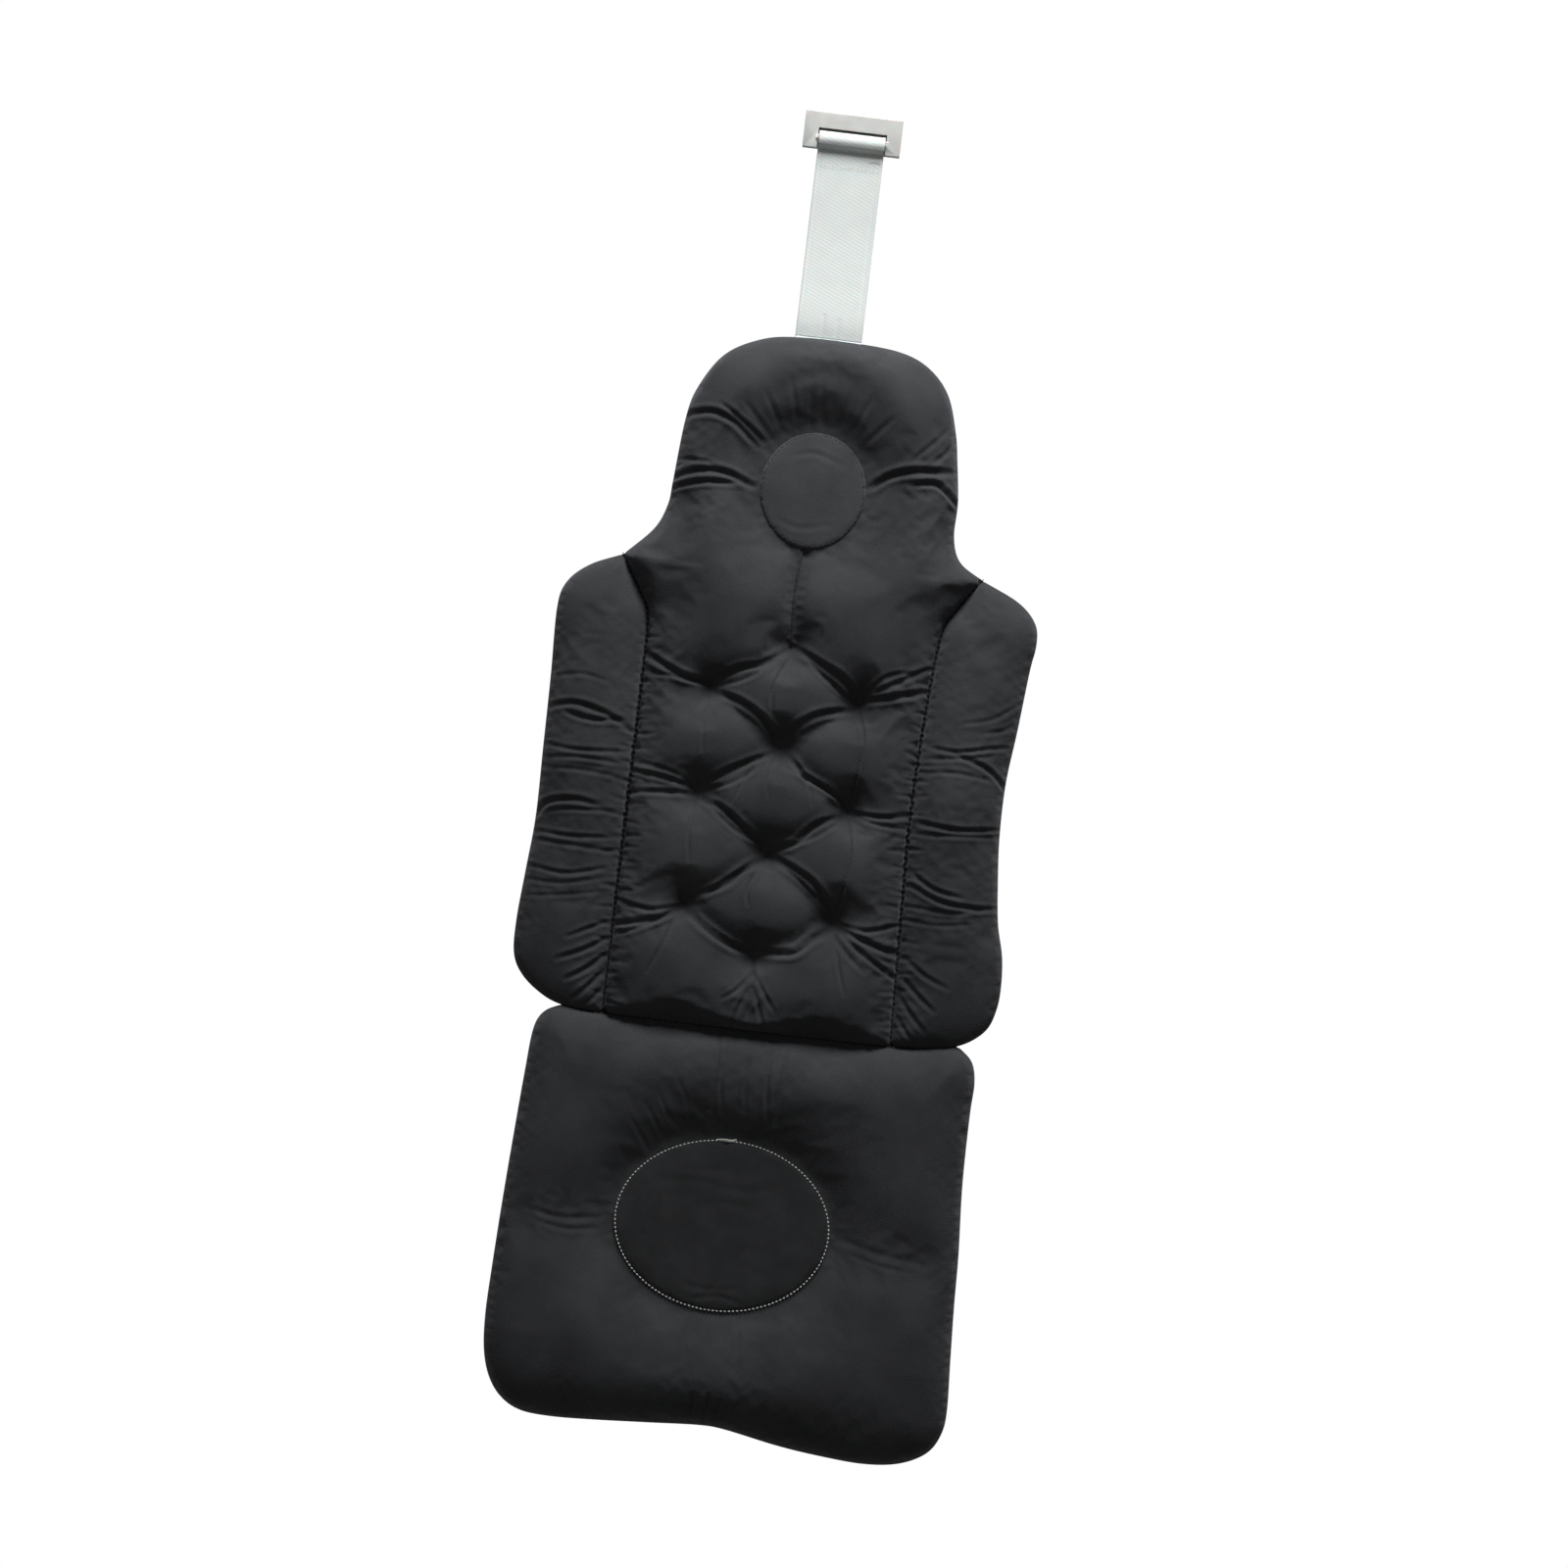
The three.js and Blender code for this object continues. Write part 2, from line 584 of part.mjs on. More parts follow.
// The round of the loop, from where the climbing run touches it, over the top, to where the tail leaves
const loopSteps = 12;
const climb = meeting.clone().sub(barMiddle);
const touchAngle = Math.acos(loopRadius / climb.length());
const loopStart = climb.angle() - touchAngle;
const loopEnd = climb.angle() + touchAngle - 2 * Math.PI;
const onLoop = (angle) => new THREE.Vector2(loopRadius, 0).rotateAround(new THREE.Vector2(), angle).add(barMiddle);
const loopTurn = [];
for (let i = 0; i <= loopSteps; i += 1) {
  loopTurn.push(onLoop(THREE.MathUtils.lerp(loopStart, loopEnd, i / loopSteps)));
}
const layerDrop = strapThickness + layerGap;
const tailStart = meeting.clone().add(new THREE.Vector2(strapTurnIn, -layerDrop));
const mainAt = (y) => {
  const next = mainRun.findIndex((point) => point.x >= y);
  const [from, to] = [mainRun[next - 1], mainRun[next]];
  return THREE.MathUtils.mapLinear(y, from.x, to.x, from.y, to.y);
};
const underMain = (y) => new THREE.Vector2(y, mainAt(y) - layerDrop);
const tail = [tailStart, underMain(meeting.x - strapTurnIn), underMain(meeting.x - tailLength)];
addPiece('strap', ribbon([...mainRun, ...loopTurn, ...tail], strapThickness, strapWidth), satinWebbing);

// Thread across the strap where it's sewn to its tail
const stitchRun = [tailLength / 2 + loopStitchWidth, tailLength / 2].map((back) => {
  const y = meeting.x - back;
  return new THREE.Vector2(y, mainAt(y) + layerGap + (strapThickness + loopStitchThickness) / 2);
});
addPiece('loop_stitching', ribbon(stitchRun, loopStitchThickness, strapWidth - 2 * loopStitchWidth), paleThread);

// Rim hook: a moulded channel that drops over the rim of a tub, with a round bar across its window
function hookSection() {
  const outline = new THREE.Shape();
  const plateTop = hookWall / 2;
  const plateUnder = -hookWall / 2;
  const lipTop = plateUnder - hookThroat;
  const lipUnder = lipTop - hookLipWall;
  const bridgeInside = hookTop - hookLipWall;
  const innerBend = hookBend - hookLipWall;
  const innerStart = bridgeInside - innerBend;
  const outerStart = hookTop - hookBend;
  outline.moveTo(-hookEarReach, plateUnder);
  outline.lineTo(innerStart, plateUnder);
  outline.absarc(innerStart, plateUnder - innerBend, innerBend, Math.PI / 2, 0, true);
  outline.lineTo(bridgeInside, lipTop + innerBend);
  outline.absarc(innerStart, lipTop + innerBend, innerBend, 0, -Math.PI / 2, true);
  outline.lineTo(-hookLipReach + hookLeadIn, lipTop);
  outline.lineTo(-hookLipReach, lipTop - hookLipWall / 2);
  outline.lineTo(-hookLipReach, lipUnder);
  outline.lineTo(outerStart, lipUnder);
  outline.absarc(outerStart, lipUnder + hookBend, hookBend, -Math.PI / 2, 0, false);
  outline.lineTo(hookTop, plateTop - hookBend);
  outline.absarc(outerStart, plateTop - hookBend, hookBend, 0, Math.PI / 2, false);
  outline.lineTo(-hookEarReach, plateTop);
  return outline;
}

// The hook seen from above: a plate with rounded corners
function hookPlan() {
  const plan = new THREE.Shape();
  const [x, low, high] = [hookWidth / 2 - hookCorner, hookCorner - hookEarReach, hookTop - hookCorner];
  plan.absarc(x, low, hookCorner, -Math.PI / 2, 0, false);
  plan.absarc(x, high, hookCorner, 0, Math.PI / 2, false);
  plan.absarc(-x, high, hookCorner, Math.PI / 2, Math.PI, false);
  plan.absarc(-x, low, hookCorner, Math.PI, (3 * Math.PI) / 2, false);
  const height = 2 * (hookThroat + hookWall + hookLipWall);
  const prism = new THREE.ExtrudeGeometry(plan, { depth: height, bevelEnabled: false, curveSegments: hookBendSteps });
  return prism.translate(0, 0, hookWall - height);
}

function hook() {
  const windowWidth = strapWidth + hookWindowClearance;
  const windowLength = hookWindowTop + hookEarReach + cutOverrun;
  const opening = box(windowWidth, windowLength, hookWall + cutOverrun, 0, hookWindowTop - windowLength / 2, 0);
  const bar = new THREE.CylinderGeometry(barRadius, barRadius, windowWidth + hookWall, barSides);
  bar.rotateZ(Math.PI / 2);
  const body = toSolid(extrudeAcross(hookSection(), hookWidth, 0)).intersect(toSolid(hookPlan()));
  return toGeometry(body.subtract(toSolid(opening)).add(toSolid(bar))).translate(strapX, barY, barHeight);
}
addPiece('rim_hook', hook(), mouldedWhite);

// The origin is at the bottom centre of the whole object's box
const extent = new THREE.Box3().setFromObject(model);
const middle = extent.getCenter(new THREE.Vector3());
model.position.set(-middle.x, -middle.y, -extent.min.z);

export default model;
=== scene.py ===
# Full-length baby-bath pillow, lying on its back with the head towards +Y, in metres.
# Lengths written in the sections are millimetres, on a grid whose origin is the middle of the seat's
# oval panel; at() turns them into the frame's metres.
import math

import bmesh
import bpy
import numpy as np
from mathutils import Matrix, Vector, geometry
from mathutils.bvhtree import BVHTree


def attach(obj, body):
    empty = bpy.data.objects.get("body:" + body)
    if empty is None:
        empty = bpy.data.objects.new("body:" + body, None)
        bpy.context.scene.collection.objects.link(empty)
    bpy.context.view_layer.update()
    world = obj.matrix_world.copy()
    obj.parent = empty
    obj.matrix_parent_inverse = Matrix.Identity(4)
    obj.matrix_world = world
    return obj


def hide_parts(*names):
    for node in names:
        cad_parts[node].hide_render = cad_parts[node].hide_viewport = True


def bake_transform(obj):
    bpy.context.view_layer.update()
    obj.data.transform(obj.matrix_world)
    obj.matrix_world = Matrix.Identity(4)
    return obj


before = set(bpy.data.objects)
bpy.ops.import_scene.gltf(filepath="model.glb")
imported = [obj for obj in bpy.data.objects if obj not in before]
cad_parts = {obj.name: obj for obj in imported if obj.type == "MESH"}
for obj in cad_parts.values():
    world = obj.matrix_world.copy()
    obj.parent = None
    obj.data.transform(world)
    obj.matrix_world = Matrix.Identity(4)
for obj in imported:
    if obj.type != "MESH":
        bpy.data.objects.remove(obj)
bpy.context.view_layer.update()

# Back cushion
# The middle chamber of the pillow: two layers of charcoal knit sewn together round the head, the
# shoulders and the waist, and stuffed with polyester fibre. Ten thread ties pull it down into tufts,
# one short seam parts the chest, and the oval head panel is sewn through to the rear layer.

# Where the grid's origin lies in the frame, and the height of every sewn seam.
GRID_SHIFT = np.array([-1.4808, -257.2927])
SEAM_HEIGHT = 22.0
CURVE_STEPS = 40


def at(x, y, z):
    """A point of the grid as a point of the frame, in metres."""
    return Vector(((x + GRID_SHIFT[0]) / 1000, (y + GRID_SHIFT[1]) / 1000, z / 1000))


def smooth_run(points, spacing):
    """Evenly spaced points along a soft curve through the given ones, both ends kept."""
    p = np.array(points, float)
    p = np.vstack([2 * p[0] - p[1], p, 2 * p[-1] - p[-2]])
    fine = []
    for a, b, c, d in zip(p, p[1:], p[2:], p[3:]):
        for t in np.linspace(0, 1, CURVE_STEPS, endpoint=False):
            fine.append(0.5 * (2 * b + (c - a) * t + (2 * a - 5 * b + 4 * c - d) * t**2
                               + (3 * b - a - 3 * c + d) * t**3))
    fine = np.array(fine + [p[-2]])
    along = np.concatenate([[0], np.cumsum(np.hypot(*np.diff(fine, axis=0).T))])
    count = max(2, round(along[-1] / spacing) + 1)
    stops = np.linspace(0, along[-1], count)
    return np.column_stack([np.interp(stops, along, fine[:, i]) for i in range(2)])


def closed_outline(runs, spacing):
    """One loop out of several runs that meet at sharp corners."""
    return np.vstack([smooth_run(run, spacing)[:-1] for run in runs])


def to_segments(points, starts, ends):
    """How far each point is from the nearest of the segments."""
    along = ends - starts
    offset = points[:, None, :] - starts[None]
    share = np.clip((offset * along).sum(2) / np.maximum((along**2).sum(1), 1e-9), 0, 1)
    return np.hypot(*(offset - share[..., None] * along).transpose(2, 0, 1)).min(1)


def to_line(points, line):
    line = np.array(line, float)
    return to_segments(points, line[:-1], line[1:])


def to_points(points, marks):
    return np.hypot(*(points[:, None, :] - np.array(marks, float)[None]).transpose(2, 0, 1)).min(1)


def to_loop(points, loop):
    return to_segments(points, loop, np.roll(loop, -1, axis=0))


def inside(points, loop):
    """Which points lie inside the loop, counted by crossings."""
    x, y = points[:, 0][:, None], points[:, 1][:, None]
    a, b = loop, np.roll(loop, -1, axis=0)
    spans = (a[:, 1] > y) != (b[:, 1] > y)
    run = (b[:, 1] - a[:, 1]) + 1e-12
    crossing = x < (b[:, 0] - a[:, 0]) * (y - a[:, 1]) / run + a[:, 0]
    return (spans & crossing).sum(1) % 2 == 1


# Shares of the net's spacing: how far its points are scattered, and how far they keep from the
# outline and from the marks.
SCATTER_SHARE = 0.16
OUTLINE_GAP_SHARE = 0.55
MARK_GAP_SHARE = 0.6


def cloth_net(outline, spacing, marks, seed):
    """A flat net of nearly even triangles inside the outline, with a point at each of the marks."""
    rng = np.random.default_rng(seed)
    low, high = outline.min(0), outline.max(0)
    rows = []
    for i, y in enumerate(np.arange(low[1], high[1], spacing * math.sqrt(3) / 2)):
        x = np.arange(low[0] + (i % 2) * spacing / 2, high[0], spacing)
        rows.append(np.column_stack([x, np.full(len(x), y)]))
    lattice = np.vstack(rows)
    lattice += rng.uniform(-SCATTER_SHARE, SCATTER_SHARE, lattice.shape) * spacing
    lattice = lattice[inside(lattice, outline)]
    lattice = lattice[to_loop(lattice, outline) > OUTLINE_GAP_SHARE * spacing]
    lattice = lattice[to_points(lattice, marks) > MARK_GAP_SHARE * spacing]
    points = np.vstack([outline, marks, lattice])
    loop = [list(range(len(outline)))]
    found = geometry.delaunay_2d_cdt([Vector(p) for p in points], [], loop, 1, 1e-5)
    flat = np.array([[v.x, v.y] for v in found[0]])
    faces = np.array([list(f) for f in found[2] if len(f) == 3])
    a, b, c = flat[faces[:, 0]], flat[faces[:, 1]], flat[faces[:, 2]]
    turn = (b - a)[:, 0] * (c - a)[:, 1] - (b - a)[:, 1] * (c - a)[:, 0]
    faces[turn < 0] = faces[turn < 0][:, ::-1]
    return flat, faces


def crown(distance, roll):
    """How full a chamber is at a distance from its seam: nothing at the seam, one at the crown."""
    share = np.clip(distance / roll, 0, 1)
    return np.sqrt(np.clip(1 - (1 - share) ** 2, 0, 1))


def drawn_in(gap, depth, reach, power=2):
    """How much of its fullness a chamber keeps at a gap from where it is drawn in."""
    return 1 - depth * np.exp(-((gap / reach) ** power))


def two_layers(name, flat, faces, top, bottom, edge, level=SEAM_HEIGHT):
    """Two layers of cloth that share the points of their sewn edge, as one closed mesh."""
    count = len(flat)
    lower = np.arange(count)
    free = np.where(~edge)[0]
    lower[free] = count + np.arange(len(free))
    upper_points = np.column_stack([flat, np.where(edge, level, level + top)])
    lower_points = np.column_stack([flat[free], level - bottom[free]])
    points = np.vstack([upper_points, lower_points])
    points[:, :2] += GRID_SHIFT
    mesh = bpy.data.meshes.new(name)
    mesh.from_pydata((points / 1000).tolist(), [], faces.tolist() + lower[faces][:, ::-1].tolist())
    return place_piece(name, mesh), lower


def in_scene(name, data):
    thing = bpy.data.objects.new(name, data)
    bpy.context.scene.collection.objects.link(thing)
    return thing


def place_piece(name, mesh):
    piece = in_scene(name, mesh)
    mesh.polygons.foreach_set("use_smooth", [True] * len(mesh.polygons))
    return piece


def settled(piece):
    """The piece's mesh with its modifiers applied, and the modifiers gone."""
    mesh = bpy.data.meshes.new_from_object(piece.evaluated_get(bpy.context.evaluated_depsgraph_get()))
    piece.modifiers.clear()
    piece.data = mesh
    mesh.polygons.foreach_set("use_smooth", [True] * len(mesh.polygons))
    return piece


def positions(piece):
    points = np.zeros(len(piece.data.vertices) * 3)
    piece.data.vertices.foreach_get("co", points)
    return points.reshape(-1, 3)


FIBRE_PRESSURE = 4
STUFFING_FRAMES = 12


def stuff(piece, held, growth, cap):
    """Where the piece's points are once the fibre has blown its two layers up, with the held points
    sewn down, cloth that is longer by growth, and no point moved further than cap."""
    start = positions(piece)
    group = piece.vertex_groups.new(name="sewn")
    group.add(held.tolist(), 1.0, "REPLACE")
    cloth = piece.modifiers.new("stuffing", "CLOTH")
    settings = cloth.settings
    settings.quality = 5
    settings.mass = 0.3
    settings.tension_stiffness = 15
    settings.compression_stiffness = 15
    settings.shear_stiffness = 5
    settings.bending_stiffness = 0.05
    settings.use_pressure = True
    settings.uniform_pressure_force = FIBRE_PRESSURE
    settings.shrink_min = -growth
    settings.vertex_group_mass = "sewn"
    settings.effector_weights.gravity = 0
    cloth.point_cache.frame_end = STUFFING_FRAMES
    for step in range(1, STUFFING_FRAMES + 1):
        bpy.context.scene.frame_set(step)
    shape = piece.evaluated_get(bpy.context.evaluated_depsgraph_get())
    end = np.array([v.co for v in shape.data.vertices])
    piece.modifiers.remove(cloth)
    bpy.context.scene.frame_set(1)
    move = end - start
    reach = np.linalg.norm(move, axis=1)
    return start + move * (np.minimum(reach, cap / 1000) / np.maximum(reach, 1e-9))[:, None]


# A fold's section, in shares of its depth and width.
VALLEY_DEPTH_SHARE = 1.1
VALLEY_WIDTH_SHARE = 0.7
RIDGE_HEIGHT_SHARE = 0.4
RIDGE_PLACE_SHARE = 1.5
RIDGE_SPREAD_SHARE = 0.5
FOLD_SPACING = 2.0
FOLD_FADE = 0.6


def press_folds(piece, folds):
    """Presses folds into the upper layer: a valley with a low ridge on each side, fading out at both
    ends. folds are (line, depth, width)."""
    points = positions(piece)
    normals = np.zeros(len(points) * 3)
    piece.data.vertices.foreach_get("normal", normals)
    normals = normals.reshape(-1, 3)
    plan = points[:, :2] * 1000 - GRID_SHIFT
    upper = points[:, 2] * 1000 > SEAM_HEIGHT + 1
    for line, depth, width in folds:
        run = smooth_run(line, FOLD_SPACING)
        reach = 3 * width + 1
        boxed = (plan > run.min(0) - reach) & (plan < run.max(0) + reach)
        near = np.where(upper & boxed.all(1))[0]
        if not len(near):
            continue
        found = np.hypot(*(plan[near][:, None, :] - run[None]).transpose(2, 0, 1)).argmin(1)
        fade = np.sin(np.pi * (found + 0.5) / len(run)) ** FOLD_FADE
        gap = to_line(plan[near], run) / width
        valley = -VALLEY_DEPTH_SHARE * np.exp(-((gap / VALLEY_WIDTH_SHARE) ** 2))
        ridge = RIDGE_HEIGHT_SHARE * np.exp(-((gap - RIDGE_PLACE_SHARE) ** 2) / RIDGE_SPREAD_SHARE)
        points[near] += normals[near] * ((valley + ridge) * fade * depth / 1000)[:, None]
    piece.data.vertices.foreach_set("co", points.ravel())
    piece.data.update()


# In metres: where the lowest cloth lies, and over what height it flattens towards that.
FLOOR_REST = 0.0004
FLOOR_SOFTNESS = 0.003
ON_SEAM = 0.01


def cushion(name, net, outline, fullness, lofts, pins, growth, cap, folds):
    """One stuffed chamber, simulated, laid on the floor, smoothed and creased. lofts are its heights
    above and below the seam; pins are (mask, height above the seam, whether the lower layer is held
    as well)."""
    flat, faces = net
    edge = to_loop(flat, outline) < ON_SEAM
    top, bottom = lofts[0] * fullness, lofts[1] * fullness
    for mask, height, both in pins:
        top[mask] = height
        if both:
            bottom[mask] = height
    piece, lower = two_layers(name, flat, faces, top, bottom, edge)
    held = [np.where(edge)[0]]
    for mask, height, both in pins:
        held.append(np.where(mask)[0])
        if both:
            held.append(lower[np.where(mask)[0]])
    points = stuff(piece, np.unique(np.concatenate(held)), growth, cap)
    low = points[:, 2] < FLOOR_REST + FLOOR_SOFTNESS
    sunk = (points[low, 2] - FLOOR_REST - FLOOR_SOFTNESS) / FLOOR_SOFTNESS
    points[low, 2] = FLOOR_REST + FLOOR_SOFTNESS * np.exp(sunk)
    piece.data.vertices.foreach_set("co", points.ravel())
    sewn = np.zeros(len(points), bool)
    sewn[np.where(edge)[0]] = True
    creases = piece.data.attributes.new("crease_edge", "FLOAT", "EDGE")
    ends = np.array([list(line.vertices) for line in piece.data.edges])
    creases.data.foreach_set("value", sewn[ends].all(1).astype(np.float32))
    soft = piece.modifiers.new("soft", "SUBSURF")
    soft.levels = soft.render_levels = DETAIL
    settled(piece)
    press_folds(piece, folds)
    return piece


def linear(code):
    """An sRGB hex colour as linear numbers with alpha."""
    parts = [int(code[i:i + 2], 16) / 255 for i in (1, 3, 5)]
    return [p / 12.92 if p <= 0.04045 else ((p + 0.055) / 1.055) ** 2.4 for p in parts] + [1]


def add_node(tree, kind, links=(), inputs=(), **settings):
    """A node of that kind, with its settings, its inputs' values and its links."""
    node = tree.nodes.new(kind)
    for key, value in settings.items():
        setattr(node, key, value)
    for key, value in inputs:
        node.inputs[key].default_value = value
    for key, source in links:
        tree.links.new(source, node.inputs[key])
    return node


def new_material(name, colour, roughness):
    material = bpy.data.materials.new(name)
    material.use_nodes = True
    shader = material.node_tree.nodes["Principled BSDF"]
    shader.inputs["Base Color"].default_value = linear(colour)
    shader.inputs["Roughness"].default_value = roughness
    return material, material.node_tree, shader


def millimetres(tree):
    """The piece's own coordinates, in millimetres."""
    spot = add_node(tree, "ShaderNodeTexCoord")
    return add_node(tree, "ShaderNodeMapping", [("Vector", spot.outputs["Object"])],
                    [("Scale", (1000, 1000, 1000))]).outputs[0]


def raise_relief(tree, shader, relief, strength, height):
    bump = add_node(tree, "ShaderNodeBump", [("Height", relief)],
                    [("Strength", strength), ("Distance", height)])
    tree.links.new(bump.outputs["Normal"], shader.inputs["Normal"])


def finish_surface(tree, shader, shade, tones, relief, strength, height):
    """Colours a surface between two tones as shade says, and raises its relief by a height in metres.
    tones are (place on the ramp, colour)."""
    ramp = add_node(tree, "ShaderNodeValToRGB", [("Fac", shade)])
    for element, (position, colour) in zip(ramp.color_ramp.elements, tones):
        element.position = position
        element.color = linear(colour)
    tree.links.new(ramp.outputs["Color"], shader.inputs["Base Color"])
    raise_relief(tree, shader, relief, strength, height)


# A wave pattern at this scale has bands one millimetre apart, so WAVE / pitch has bands at that pitch.
# A noise pattern at scale 1 / size has patches of about that many millimetres.
WAVE = 0.314
WALE = 0.9
COURSE = 1.0
FUZZ_SIZE = 0.625
NAP_SIZE = 28.6


def knit_cloth(name, low, high, sheen):
    """Brushed weft-knit polyester: matte, near-black charcoal that greys a little where it is lit
    along its nap. Its wales and courses, 0.9 and 1 mm apart, show only close up, as a fine grain."""
    material, tree, shader = new_material(name, high, 0.92)
    shader.inputs["Specular IOR Level"].default_value = 0.25
    shader.inputs["Sheen Weight"].default_value = sheen
    shader.inputs["Sheen Roughness"].default_value = 0.5
    shader.inputs["Sheen Tint"].default_value = linear("#a3a5ac")
    place = millimetres(tree)
    wales, courses = [
        add_node(tree, "ShaderNodeTexWave", [("Vector", place)],
                 [("Scale", WAVE / pitch), ("Distortion", 1.2), ("Detail", 1)], bands_direction=way)
        for pitch, way in ((WALE, "X"), (COURSE, "Y"))]
    grain = add_node(tree, "ShaderNodeMath", [(0, wales.outputs["Fac"]), (1, courses.outputs["Fac"])],
                     operation="MULTIPLY")
    fuzz = add_node(tree, "ShaderNodeTexNoise", [("Vector", place)],
                    [("Scale", 1 / FUZZ_SIZE), ("Detail", 4), ("Roughness", 0.7)])
    nap = add_node(tree, "ShaderNodeTexNoise", [("Vector", place)],
                   [("Scale", 1 / NAP_SIZE), ("Detail", 3)])
    both = add_node(tree, "ShaderNodeMath", [(0, fuzz.outputs["Fac"]), (1, nap.outputs["Fac"])],
                    operation="ADD")
    half = add_node(tree, "ShaderNodeMath", [(0, both.outputs[0])], [(1, 0.5)], operation="MULTIPLY")
    rise = add_node(tree, "ShaderNodeMath", [(0, grain.outputs[0]), (1, fuzz.outputs["Fac"])],
                    operation="ADD")
    finish_surface(tree, shader, half.outputs[0], [(0.36, low), (0.64, high)], rise.outputs[0],
                   strength=0.5, height=0.00012)
    return material


CHARCOAL_KNIT = knit_cloth("brushed_charcoal_knit", "#2b2c2e", "#3c3d3f", sheen=0.28)
SPACING = 3.2
DETAIL = 2
LINE_SPACING = 3
HALF_WAIST = 85
HEAD_SEAM_L = [(-102, 374), (-90, 354), (-84, 340), (-83, 300), (-83, 200), (-83, 113)]
HEAD_SEAM_R = [(103, 383), (91, 365), (83, 347), (79, 290), (78, 240), (79, 200), (82, 113)]
HEAD_ROUND = [(-102, 374), (-86, 391), (-80, 406), (-79, 418), (-76, 455), (-71, 474), (-58, 494),
              (-38, 505), (-18, 508.5), (10, 509), (40, 507), (58, 500), (71, 486), (78, 465),
              (81, 448), (84, 425), (84, 406), (89, 392), (103, 383)]
WAIST = [(-83, 113), (-40, 112.5), (0, 112.5), (40, 112.5), (82, 113)]
TUFTS = [(-1, 333), (-44, 305), (41, 304), (0, 275), (-44, 245), (42, 244), (0, 215), (-44, 181),
         (41, 180), (-1, 156)]
# An oval panel is its middle and its two half sizes. It is sewn down between two rows of points.
HEAD_PANEL = (1, 422, 30.5, 33.5)
SEAM_MARGIN = 1.5
OVAL_POINTS = 80
CHEST_SEAM = smooth_run([(-1, 387), (-2.5, 362), (-1, 336)], SPACING)
